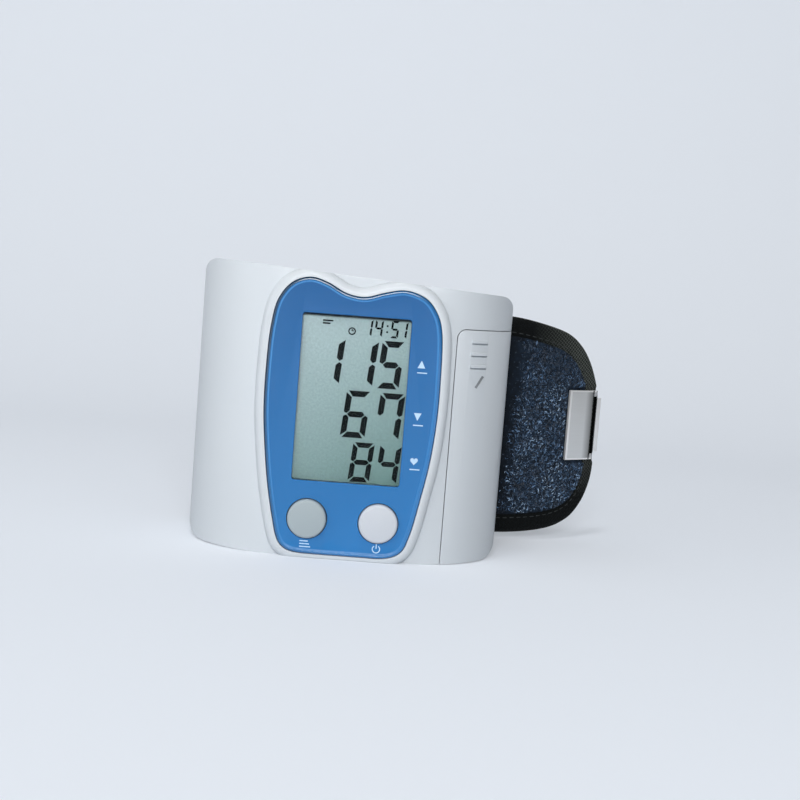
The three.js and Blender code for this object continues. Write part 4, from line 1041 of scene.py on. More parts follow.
class MONITOR_OT_battery_door(MonitorOperator, bpy.types.Operator):
    """The cover of the battery bay, with grip ribs and an arrow"""

    bl_idname = "monitor.battery_door"
    bl_label = "Battery door"

    def execute(self, context):
        shell, door = context.scene.monitor_shell, context.scene.monitor_door
        cover = shell_solid("door_cover", 0, shell.rear_corner, shell.edge)
        combine(cover, door_tool(0), "INTERSECT")
        combine(cover, slab("door core", [housing_loop(door.skin, INNER_ROUND)], *TALL))
        soften(cover, 0.22 * MM, 2, 50)
        for i in range(3):
            height = door.top - FIRST_RIB - i * door.rib_step
            low = height - RIB_HALF
            rib = self.band(-door.rib_rise, RIB_ROOT, low, height + RIB_HALF)
            combine(cover, soften(rib, 0.12 * MM, 2, 50), "UNION")
            combine(cover, self.band(-1 * MM, GROOVE_SINK, height - GROOVE_LOW, low, GROOVE_LONGER))
        for side, sink in ((-1, 0.12 * MM), (1, 0.6 * MM)):
            combine(cover, self.stroke(side, sink))
        # painted shadow: a piece in the groove shadow finish lies in the lower part of the right stroke's
        # groove
        inside = slab("groove_shade", [housing_loop(0.25 * MM, shell.rear_corner)], *TALL)
        groove_shade = combine(self.stroke(1, 0.7 * MM), inside, "INTERSECT")
        smooth(groove_shade, 32)
        paint(groove_shade, FINISH["groove"])
        groove_shade.name = "door_arrow_shade"
        hand_over(groove_shade, "battery_door", "shell")
        hook = slab("hook", [housing_loop(2.3 * MM, INNER_ROUND)], door.top - 3 * MM, door.top + 2.6 * MM)
        combine(hook, slab("hook core", [housing_loop(3.3 * MM, INNER_ROUND)], *TALL))
        reach = block("hook reach", (33.6 * MM, PAST), (depth_y(13.5 * MM), depth_y(19 * MM)), TALL)
        combine(hook, reach, "INTERSECT")
        cover = joined([cover, hook], "door_cover")
        smooth(cover, 32)
        paint(cover, FINISH["shell"])
        hand_over(cover, "battery_door", "shell", "battery_door")
        return {"FINISHED"}

    def band(self, outer, inner, low, high, longer=0.0):
        """A band along the cover where the ribs are, between two insets and two heights."""
        shell, door = bpy.context.scene.monitor_shell, bpy.context.scene.monitor_door
        band = slab("band", [housing_loop(outer, shell.rear_corner)], low, high)
        reach = block("band reach", (door.rib_start, door.rib_start + door.rib_width + longer),
                      (-20 * MM, depth_y(12 * MM)), (low - 1 * MM, high + 1 * MM))
        combine(band, reach, "INTERSECT")
        return combine(band, slab("band core", [housing_loop(inner, INNER_ROUND)], *TALL))

    def stroke(self, side, sink):
        """One stroke of the arrow, sunk into the cover's surface."""
        door = bpy.context.scene.monitor_door
        tip = Vector((door.rib_start + door.rib_width * 0.45, door.arrow_height))
        end = tip + Vector((side * ARROW_RUN[0], ARROW_RUN[1]))
        along = (end - tip).normalized()
        across = Vector((-along.y, along.x)) * 0.34 * MM
        loop = [tuple(at) for at in (tip - across, end - across, end + across, tip + across)][::side]
        tool = panel("stroke", [loop], -20 * MM, depth_y(14 * MM))
        return combine(tool, slab("stroke core", [housing_loop(sink, INNER_ROUND)], *TALL))


# Soft pieces


def bent_line(start, first, last, run):
    """A line of even curvature seen from above. It gives the place and the outer side at a distance."""
    turn = math.radians(last - first) / run
    heading = math.radians(first)

    def at(distance):
        now = heading + turn * distance
        x = start[0] + (math.sin(now) - math.sin(heading)) / turn
        y = start[1] - (math.cos(now) - math.cos(heading)) / turn
        return np.array((x, y)), np.array((math.sin(now), -math.cos(now)))

    return at


# The gap between one soft piece and the next, and the room round the wire in the clamp's roll
SOFT_GAP = 0.3 * MM
ROLL_PLAY = 0.3 * MM


def pad_end(side, thickness):
    """Where a flap's middle line starts beside the pad."""
    cuff, shell = bpy.context.scene.monitor_cuff, bpy.context.scene.monitor_shell
    radius = cuff.pad_outer - cuff.pad_thickness / 2
    reach = thickness / 2 + SOFT_GAP
    x = side * (radius * math.sin(cuff.pad_angle) + math.cos(cuff.pad_angle) * reach)
    y = shell.wrist_y - radius * math.cos(cuff.pad_angle) + math.sin(cuff.pad_angle) * reach
    return x, y


def edge_distance(points, outline):
    """The least distance from each point to an open outline."""
    first, last = outline[:-1], outline[1:]
    run = last - first
    share = np.einsum("pkd,kd->pk", points[:, None, :] - first[None], run) / np.maximum(
        np.einsum("kd,kd->k", run, run), 1e-18)
    nearest = first[None] + np.clip(share, 0, 1)[..., None] * run[None]
    return np.linalg.norm(points[:, None, :] - nearest, axis=2).min(axis=1)


def soft_body(name, line, stations, span_at, outline, front_at, back_at, across):
    """A closed body along a bent line. Its front and back stand off the line by amounts that
    depend on the distance along it, the height and the distance from the outline."""
    middle_z = cuff_middle()
    shares = (1 + np.sin(np.linspace(-QUARTER, QUARTER, across + 1))) / 2
    grid = []
    for s in stations:
        low, high = span_at(s)
        grid += [(s, low + share * (high - low)) for share in shares]
    grid = np.array(grid)
    near = edge_distance(grid, np.array(outline))
    vertices, uvs = [], []
    for offset_at, sign in ((front_at, 1), (back_at, -1)):
        off = offset_at(grid[:, 0], grid[:, 1], near)
        for (s, z), out in zip(grid, off):
            place, normal = line(s)
            vertices.append((*(place + sign * normal * out), middle_z + z))
            uvs.append((s, z))
    rows, columns = len(stations), across + 1
    faces = []
    layer = rows * columns
    for i in range(rows - 1):
        for j in range(across):
            a = i * columns + j
            faces.append((a, a + columns, a + columns + 1, a + 1))
            faces.append((layer + a, layer + a + 1, layer + a + columns + 1, layer + a + columns))
    rim = ([i * columns for i in range(rows)] + [(rows - 1) * columns + j for j in range(1, columns)]
           + [i * columns + across for i in range(rows - 2, -1, -1)] + list(range(across - 1, 0, -1)))
    for a, b in zip(rim, rim[1:] + rim[:1]):
        faces.append((a, layer + a, layer + b, b))
    obj = mesh_object(name, vertices, faces)
    layer_uv = obj.data.uv_layers.new(name="cloth")
    for loop in obj.data.loops:
        layer_uv.data[loop.index].uv = uvs[loop.vertex_index]
    clean(obj, 0.01 * MM)
    return smooth(obj, 50)


def round_off(near, radius):
    """From 0 at an edge to 1 at a distance of one radius, along a quarter circle."""
    share = np.clip(near / radius, 0, 1)
    return np.sqrt(1 - (1 - share) ** 2)


def sewn(near, place, depth):
    """1, and less by a depth along a seam at one distance from the edge."""
    return 1 - depth * np.exp(-(((near - place) / (0.5 * MM)) ** 2))


def step(value, low, high):
    """From 0 to 1 between two values, with a soft start and end."""
    share = np.clip((value - low) / (high - low), 0, 1)
    return share * share * (3 - 2 * share)


# Where the cloth of the tongue and of the left flap starts before its root
TONGUE_START, FLAP_START = -3.2 * MM, -3.6 * MM
# Painted shadow of the housing on the pile: it is dark before the first distance from the tongue's root,
# and full from the second on
PILE_SHADED_ROOT = (12.5 * MM, 19 * MM)
# How far the left flap and the strap bend on their way, in degrees
LEFT_BEND, STRAP_BEND = 97, 104
# The tongue's upper and lower edges: pairs of distance from its root and height, in millimetres.
TONGUE_TOP = (
    (-4, 63.6), (0, 63.6), (8, 63.6), (14.3, 63.4), (19.8, 62.7), (27.7, 61.1), (32, 59.9), (35, 58.5),
    (39, 55.4), (42.2, 51.5), (44.6, 47.3), (45.9, 44.3), (46.8, 40), (47.1, 35),
)
TONGUE_LOW = (
    (-4, 4.2), (0, 3.8), (6, 2.6), (12, 2.0), (15, 1.9), (24, 2.3), (30.4, 3.1), (34.5, 4.2), (39.1, 6.5),
    (43, 10.4), (45.3, 14.3), (46.6, 18.1), (47.05, 22), (47.1, 27),
)


def open_curve(knots, count):
    """A smooth open curve through knots, at even distances."""
    knots = np.array(knots, dtype=float) * MM
    chord = np.concatenate([[0], np.cumsum(np.sqrt(np.linalg.norm(np.diff(knots, axis=0), axis=1)))])
    slopes = np.gradient(knots, chord, axis=0)
    dense = []
    for i in range(len(knots) - 1):
        run = chord[i + 1] - chord[i]
        for t in np.linspace(0, 1, 16, endpoint=False):
            dense.append((2 * t**3 - 3 * t**2 + 1) * knots[i] + (t**3 - 2 * t**2 + t) * run * slopes[i]
                         + (3 * t**2 - 2 * t**3) * knots[i + 1] + (t**3 - t**2) * run * slopes[i + 1])
    dense = np.array(dense + [knots[-1]])
    length_to = np.concatenate([[0], np.cumsum(np.linalg.norm(np.diff(dense, axis=0), axis=1))])
    places = np.linspace(0, length_to[-1], count)
    return np.stack([np.interp(places, length_to, dense[:, k]) for k in (0, 1)], axis=1)


def tongue_edges(inset, start):
    """The tongue's two long edges, drawn in by one amount, up to where they meet at the tip."""
    middle_z = cuff_middle()
    edges = []
    for knots, side in ((TONGUE_TOP, 1), (TONGUE_LOW, -1)):
        points = open_curve(knots, 160)
        along = np.gradient(points, axis=0)
        along /= np.linalg.norm(along, axis=1)[:, None]
        points = points + inset * side * np.stack([along[:, 1], -along[:, 0]], axis=1)
        points[:, 1] -= middle_z
        edges.append(points[points[:, 0] >= start - 0.2 * MM])
    tip = min(edge[:, 0].max() for edge in edges)
    return edges, tip


def tongue_outline(inset, start):
    (upper, lower), _ = tongue_edges(inset, start)
    return [tuple(at) for at in lower] + [tuple(at) for at in reversed(upper)]


def tongue_span(inset, start):
    """Gives the lowest and highest place of the tongue at a distance from its root."""
    (upper, lower), tip = tongue_edges(inset, start)

    def at(distance):
        return (float(np.interp(distance, lower[:, 0], lower[:, 1])),
                float(np.interp(distance, upper[:, 0], upper[:, 1])))

    return at, tip


def tongue_stations(tip, start, count):
    shares = 1 - (1 - np.linspace(0, 1, count)) ** 1.9
    return start + (tip - start) * shares


def cuff_middle():
    cuff = bpy.context.scene.monitor_cuff
    return (cuff.base + cuff.top) / 2


def tongue_line():
    cuff = bpy.context.scene.monitor_cuff
    return bent_line(pad_end(1, cuff.tongue_thickness), 4, 43, cuff.tongue_length)


def left_line():
    cuff = bpy.context.scene.monitor_cuff
    heading = 180 - math.degrees(cuff.pad_angle)
    return bent_line(pad_end(-1, cuff.left_thickness), heading, heading - LEFT_BEND, cuff.left_length)


def strap_line():
    cuff = bpy.context.scene.monitor_cuff
    heading = 180 - math.degrees(cuff.pad_angle) - LEFT_BEND
    start, _ = left_line()(cuff.left_length + cuff.strap_thickness / 2 + SOFT_GAP)
    return bent_line(tuple(start), heading, heading - STRAP_BEND, cuff.strap_length)


def beside_line(line, distance, alongs, sides):
    """A four-sided outline about a place of a line, between two distances along it and two sides."""
    place, normal = line(distance)
    along = np.array((-normal[1], normal[0]))
    corners = ((alongs[0], sides[1]), (alongs[1], sides[1]), (alongs[1], sides[0]), (alongs[0], sides[0]))
    return [tuple(place + along * a + normal * b) for a, b in corners]


# The course of a stitch: pairs of the share of its length and of its radius above the cloth
STITCH = ((0.0, -0.9), (0.12, 0.1), (0.5, 0.55), (0.88, 0.1), (1.0, -0.9))


def stitches(name, line, path, out):
    """A row of sewn stitches along a flat path on a bent piece."""
    pitch, size, radius, sides = 2.1 * MM, 1.4 * MM, 0.15 * MM, 6
    middle_z = cuff_middle()
    path = np.array(path)
    run = np.concatenate([[0], np.cumsum(np.linalg.norm(np.diff(path, axis=0), axis=1))])

    def on(distance, rise):
        s, z = (np.interp(distance, run, path[:, k]) for k in (0, 1))
        place, normal = line(s)
        return Vector((*(place + normal * (out + rise)), middle_z + z))

    vertices, faces = [], []
    for begin in np.arange(pitch, run[-1] - pitch, pitch):
        faces += tube_faces(len(vertices), len(STITCH), sides)
        for share, lift in STITCH:
            here = on(begin + size * share, radius * lift)
            ahead = on(begin + size * share + 0.05 * MM, radius * lift)
            along = (ahead - here).normalized()
            side = along.cross(Vector((0.3, 1, 0.2))).normalized()
            up = along.cross(side)
            for k in range(sides):
                t = 2 * math.pi * k / sides
                vertices.append(here + (side * math.cos(t) + up * math.sin(t)) * radius)
    obj = mesh_object(name, vertices, faces)
    clean(obj, 0.001 * MM)
    paint(obj, FINISH["thread"])
    return smooth(obj, 80)


class MONITOR_OT_cuff_pad(MonitorOperator, bpy.types.Operator):
    """The padded body of the cuff between the shell and the wrist"""

    bl_idname = "monitor.cuff_pad"
    bl_label = "Cuff pad"

    def execute(self, context):
        cuff, shell = context.scene.monitor_cuff, context.scene.monitor_shell
        radius = cuff.pad_outer - cuff.pad_thickness / 2
        half = (cuff.top - cuff.base) / 2
        reach = radius * cuff.pad_angle

        def line(s):
            t = -QUARTER + s / radius
            normal = np.array((math.cos(t), math.sin(t)))
            return np.array((0, shell.wrist_y)) + radius * normal, normal

        stations = reach * np.sin(np.linspace(-QUARTER, QUARTER, 90))
        outline = [(-reach, -half), (reach, -half), (reach, half), (-reach, half), (-reach, -half)]
        full = cuff.pad_thickness / 2

        def back(s, z, near):
            puff = 0.82 + 0.18 * np.cos(np.clip(z / half, -1, 1) * QUARTER)
            seam = sewn(near, 4.6 * MM, 0.5)
            waves = np.sin(s / (3.1 * MM) + 2.2 * np.sin(z / (7 * MM)))
            wrinkle = 1 + 0.035 * waves * step(near, 5 * MM, 9 * MM)
            return full * round_off(near, 2.2 * MM) * puff * seam * wrinkle

        def front(s, z, near):
            return full * round_off(near, 2.2 * MM) * 0.96

        pad = soft_body("cuff_pad_cloth", line, stations, lambda s: (-half, half), outline, front, back, 72)
        paint(pad, FINISH["cloth"])
        hand_over(pad, "housing", "cloth", "cuff_pad")
        return {"FINISHED"}


class MONITOR_OT_tongue(MonitorOperator, bpy.types.Operator):
    """The stiffened tongue with its bound edge, pile facing and stitches"""

    bl_idname = "monitor.tongue"
    bl_label = "Tongue"

    def execute(self, context):
        cuff, metal_sizes = context.scene.monitor_cuff, context.scene.monitor_metal
        line = tongue_line()
        half = cuff.tongue_thickness / 2
        start = TONGUE_START
        grip = cuff.tongue_length - metal_sizes.length
        reach = metal_sizes.height / 2

        def clamped(s, z):
            """1 under the clamp's plates, 0 away from them."""
            beside = step(abs(z + metal_sizes.drop), reach + 0.2 * MM, reach + 1.4 * MM)
            return step(s, grip - 1.6 * MM, grip - 0.3 * MM) * (1 - beside)

        def offset(s, z, near):
            bound = 1 - 0.13 * step(near, cuff.binding - 0.4 * MM, cuff.binding)
            root = 0.8 + 0.2 * step(s, start, 2 * MM)
            return half * round_off(near, half) * bound * (1 - 0.38 * clamped(s, z)) * root

        span_at, tip = tongue_span(0, start)
        body = soft_body("tongue_cloth", line, tongue_stations(tip, start, 120), span_at,
                         tongue_outline(0, start), offset, offset, 96)
        notch = beside_line(line, cuff.tongue_length, (-0.9 * MM, 8 * MM), (-4 * MM, 4 * MM))
        notch_half = metal_sizes.roll_height / 2 + 2 * metal_sizes.wire + 0.7 * MM
        notch_z = cuff_middle() - metal_sizes.drop
        combine(body, slab("notch", [notch], notch_z - notch_half, notch_z + notch_half))
        smooth(body, 50)
        paint(body, FINISH["binding"])
        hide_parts("right_flap")
        blend_root(body, line)

        # the facing lies on the front, from behind the housing's edge to the binding
        inset, first = cuff.binding, 12 * MM
        rise = half * 0.87

        def ground(s, z):
            return rise - 0.4 * MM * clamped(s, z)

        def pile_front(s, z, near):
            return ground(s, z) + 0.75 * MM * round_off(near, 0.7 * MM) * (1 - clamped(s, z))

        def pile_back(s, z, near):
            return 0.3 * MM - ground(s, z)

        span_at, tip = tongue_span(inset, first)
        outline = tongue_outline(inset, first)
        facing = soft_body("pile_facing", line, tongue_stations(tip, first, 150), span_at,
                           [*outline, outline[0]], pile_front, pile_back, 130)
        paint(facing, FINISH["pile"])
        hand_over(facing, "right_flap", "pile", "pile_panel")
        self.loops(line, span_at, (first, tip), rise + 0.66 * MM, clamped, outline)
        seam = stitches("tongue_stitches", line, tongue_outline(inset - 1.0 * MM, 5 * MM), half * 0.97)
        hand_over(seam, "right_flap", "cloth")
        return {"FINISHED"}

    def loops(self, line, span_at, reach, rise, clamped, outline):
        """Short loops of yarn that stand out of the pile in all directions."""
        random = np.random.default_rng(7)
        vertices, faces, tones = [], [], []
        outline = np.array(outline)
        up = np.array((0.0, 0.0, 1.0))
        sides, runs = 3, 3
        made = 0
        while made < bpy.context.scene.monitor_cuff.loop_count:
            s = reach[0] + (reach[1] - reach[0]) * random.random()
            low, high = span_at(s)
            z = low + (high - low) * random.random()
            near = edge_distance(np.array([[s, z]]), outline)[0]
            root = PILE_SHADED_ROOT[0] + 3 * MM * step(z, -5 * MM, 15 * MM)
            bare = max(1 - step(s, root, root + 6 * MM), 0.5 * step(z, 15 * MM, 27 * MM))
            if near < 0.6 * MM or clamped(s, z) > 0.05 or random.random() < bare:
                continue
            made += 1
            patch = 0.5 + 0.5 * math.sin(s / (2.3 * MM) + 2 * math.sin(z / (3.7 * MM)))
            tone = min(1.0, random.random() * (0.9 + 0.14 * patch) * (1 - 0.22 * step(z, 6 * MM, 22 * MM)))
            heading = random.random() * 2 * math.pi
            large = random.random() < 0.16
            run = (random.uniform(0.8, 1.5) if large else random.uniform(0.45, 1.1)) * MM
            lift = random.uniform(0.12, 0.4) * MM
            thick = (random.uniform(0.12, 0.17) if large else random.uniform(0.06, 0.1)) * MM
            place, normal = line(s)
            out = np.array((*normal, 0.0))
            forward = np.array((-normal[1], normal[0], 0.0))
            along = forward * math.cos(heading) + up * math.sin(heading)
            across = np.cross(along, out)
            base = np.array((*(place + normal * rise), cuff_middle() + z))
            curl = random.uniform(-0.4, 0.4) * run
            faces += tube_faces(len(vertices), runs + 1, sides)
            for i in range(runs + 1):
                t = i / runs
                at = (base + along * run * (t - 0.5) + across * curl * math.sin(math.pi * t)
                      + out * (lift * math.sin(math.pi * t) - 0.06 * MM))
                for k in range(sides):
                    turn = 2 * math.pi * k / sides
                    vertices.append(at + (across * math.cos(turn) + out * math.sin(turn)) * thick)
                    tones.append(tone)
        yarn = mesh_object("pile_loops", vertices, faces)
        layer = yarn.data.attributes.new("tone", "FLOAT", "POINT")
        layer.data.foreach_set("value", tones)
        smooth(turn_outwards(yarn), 80)
        paint(yarn, FINISH["yarn"])
        hand_over(yarn, "right_flap", "pile")


class MONITOR_OT_left_flap(MonitorOperator, bpy.types.Operator):
    """The padded half behind the wrist, the fastening strap and its hook tape"""

    bl_idname = "monitor.left_flap"
    bl_label = "Left flap and strap"

    def execute(self, context):
        cuff = context.scene.monitor_cuff
        flap_line, band_line = left_line(), strap_line()
        full = (cuff.top - cuff.base) / 2
        narrow = cuff.strap_width / 2

        def half_at(s):
            return full + (narrow - full) * step(s, 0.5 * cuff.left_length, cuff.left_length)

        start = FLAP_START
        stations = np.linspace(start, cuff.left_length + 2 * MM, 110)
        upper = [(s, float(half_at(s))) for s in stations]
        lower = [(s, -z) for s, z in upper]
        half = cuff.left_thickness / 2

        def thick(s, z, near):
            places = np.stack([s, z], 1)
            near = np.minimum(near, edge_distance(places, np.array(upper)))
            thin = 1 - 0.5 * step(s, 0.5 * cuff.left_length, cuff.left_length)
            seam = sewn(near, 4.4 * MM, 0.3)
            crown = 0.86 + 0.14 * step(near, 4 * MM, 16 * MM)
            root = 0.82 + 0.18 * step(s, start, 3 * MM)
            return half * round_off(near, half * 0.9) * thin * seam * crown * root

        flap = soft_body("left_flap_cloth", flap_line, stations, lambda s: (-half_at(s), half_at(s)), lower,
                         thick, thick, 72)
        paint(flap, FINISH["cloth"])
        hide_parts("left_flap")
        blend_root(flap, flap_line)

        band_half = cuff.strap_thickness / 2
        band_stations = np.concatenate([np.linspace(-4 * MM, cuff.strap_length - 1 * MM, 90),
                                        cuff.strap_length - np.array([0.6, 0.3, 0.1, 0.0]) * MM])
        end = cuff.strap_length
        band_outline = [(-4 * MM, -narrow), (end, -narrow), (end, narrow), (-4 * MM, narrow)]

        def band_offset(s, z, near):
            return band_half * round_off(near, band_half)

        band = soft_body("strap_webbing", band_line, band_stations, lambda s: (-narrow, narrow),
                         band_outline, band_offset, band_offset, 40)
        paint(band, FINISH["webbing"])
        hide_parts("strap")
        blend_root(band, band_line)

        margin = 0.6 * MM
        last = end - margin
        first = last - 28 * MM * math.radians(44)
        patch_half = narrow - margin
        patch_outline = box_loop(first, last, -patch_half, patch_half) + [(first, -patch_half)]

        def patch_back(s, z, near):
            return band_half + 0.9 * MM * round_off(near, 0.4 * MM)

        def patch_front(s, z, near):
            return -band_half + 0 * near

        patch = soft_body("hook_tape", band_line, np.linspace(first, last, 60),
                          lambda s: (-patch_half, patch_half), patch_outline, patch_front, patch_back, 40)
        paint(patch, FINISH["hook"])
        hand_over(patch, "strap", "pile", "hook_patch")
        return {"FINISHED"}


class MONITOR_OT_clamp(MonitorOperator, bpy.types.Operator):
    """The folded metal clamp at the tongue's tip and the wire loop that it holds"""

    bl_idname = "monitor.clamp"
    bl_label = "Clamp and loop"

    def execute(self, context):
        cuff, metal_sizes = context.scene.monitor_cuff, context.scene.monitor_metal
        line = tongue_line()
        z = cuff_middle() - metal_sizes.drop
        end = cuff.tongue_length
        start = end - metal_sizes.length
        inner, outer = metal_sizes.grip / 2, metal_sizes.grip / 2 + metal_sizes.sheet
        bar = end + metal_sizes.wire + ROLL_PLAY
        roll = metal_sizes.wire + ROLL_PLAY
        stations = np.linspace(start, bar, 26)

        def side(out, places):
            return [tuple(line(s)[0] + line(s)[1] * out) for s in places[:-1]]

        centre, normal = line(bar)
        along = np.array((-normal[1], normal[0]))

        def nose(radius, first, last):
            return [tuple(centre + radius * (metal_sizes.flat * math.cos(t) * along + math.sin(t) * normal))
                    for t in np.linspace(first, last, 22)]

        # one sheet, from the rear plate's edge round the bar to the front plate's edge and back inside
        loop = side(-outer, stations) + nose(outer, -QUARTER, QUARTER) + side(outer, stations)[::-1]
        loop += side(inner, stations) + nose(inner, QUARTER, -QUARTER) + side(-inner, stations)[::-1]
        low, high = z - metal_sizes.height / 2, z + metal_sizes.height / 2
        plate = slab("clamp_plate", [loop], low, high)

        sheet_end = end - metal_sizes.sheet - bar
        wide = beside_line(line, bar, (sheet_end, 6 * MM), (-6 * MM, 6 * MM))
        for first, last in ((low - 5 * MM, z - metal_sizes.roll_height / 2),
                            (z + metal_sizes.roll_height / 2, high + 5 * MM)):
            combine(plate, slab("notch", [wide], first, last))
        slot_middle = end - metal_sizes.gap_place - bar
        opening = (slot_middle - metal_sizes.gap / 2, slot_middle + metal_sizes.gap / 2)
        tall = metal_sizes.roll_height / 2 + 0.5 * MM
        slot = beside_line(line, bar, opening, (0.2 * MM, 6 * MM))
        combine(plate, slab("slot", [slot], z - tall, z + tall))
        soften(plate, 0.2 * MM, 3, 50)
        smooth(plate, 40)
        paint(plate, FINISH["metal"])
        # painted shade: the faces inside the slot take the dark wire finish
        plate.data.materials.append(FINISH["wire"].material)
        for face in plate.data.polygons:
            at = np.array(face.center[:2]) - centre
            inside = opening[0] - 0.1 * MM < at @ along < opening[1] + 0.12 * MM
            if inside and at @ normal > 0 and abs(face.center.z - z) < tall + 0.1 * MM:
                face.material_index = 1
        hand_over(plate, "right_flap", "metal", "loop_clamp")

        turn = metal_sizes.rest_turn
        hanging = along * math.cos(turn) - normal * math.sin(turn)
        rise = metal_sizes.roll_height / 2 + ROLL_PLAY + metal_sizes.wire
        reach = roll + metal_sizes.sheet + metal_sizes.slot
        path = box_loop(0, reach, z - rise, z + rise, 1 * MM, 7)
        curve = bpy.data.curves.new("loop_wire", "CURVE")
        curve.dimensions = "3D"
        curve.bevel_depth = metal_sizes.wire
        curve.bevel_resolution = 5
        course = [(*(centre + hanging * out), height) for out, height in path]
        wire = smooth(clean(from_curve("loop_wire", curve, [course])), 60)
        paint(wire, FINISH["wire"])
        hand_over(wire, "strap_loop", "metal", "strap_loop")
        return {"FINISHED"}


class MONITOR_OT_batteries(MonitorOperator, bpy.types.Operator):
    """The two cells in the bay, and the finishes of every piece inside"""

    bl_idname = "monitor.batteries"
    bl_label = "Batteries and inside"

    def execute(self, context):
        for name in ("battery_1", "battery_2"):
            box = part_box(name)
            x, y = middle(box, 0), middle(box, 1)
            radius = span(box, 0) / 2
            up = name == "battery_1"
            low, high = box[0][2], box[1][2]
            nub, nub_radius, edge = 0.8 * MM, 1.9 * MM, 0.5 * MM
            body_low, body_high = (low, high - nub) if up else (low + nub, high)
            body = slab(name + "_can", [circle(x, y, radius, 64)], body_low, body_high, edge)
            base, tip = (body_high - edge, high) if up else (low, body_low + edge)
            contact = slab("nub", [circle(x, y, nub_radius, 32)], base, tip, 0.2 * MM)
            paint(body, FINISH["jacket"])
            body.data.materials.append(FINISH["contact"].material)
            for face in body.data.polygons:
                if abs(face.normal.z) > 0.9:
                    face.material_index = 1
            paint(contact, FINISH["contact"])
            cell = smooth(joined([body, contact], name + "_can"), 40)
            hand_over(cell, "housing", "cell_jacket", name)
        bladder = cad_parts["air_bladder"]
        bag = copied(bladder, "bladder_bag")
        for key in list(bag.keys()):
            del bag[key]
        bag.parent = None
        clean(bag)
        soften(bag, 0.7 * MM, 3, 50)
        smooth(bag, 60)
        paint(bag, FINISH["bladder"])
        hand_over(bag, "housing", "bladder", "air_bladder")
        for node, finish in NODE_FINISHES.items():
            paint_node(node, FINISH[finish])
        return {"FINISHED"}


# The finish of every solid inside that shows as it is
NODE_FINISHES = {
    "lcd_holder": "inner", "contact_strip": "chip", "key_mat": "silicone", "circuit_board": "board",
    "main_chip": "chip", "pressure_sensor": "chip", "air_manifold": "inner", "pump_motor": "motor",
    "pump_crank": "contact", "pump_head": "pump_black", "exhaust_valve": "pump_black",
    "valve_plunger": "contact", "pump_tube": "tube", "valve_tube": "tube", "sensor_tube": "tube",
    "battery_tray": "inner", "cuff_former": "former",
    **{f"{kind}_{i}": "contact" for kind in ("battery_spring", "contact_plate") for i in (1, 2)},
    **{f"housing_screw_{i}": "screw" for i in (1, 2, 3, 4)},
}


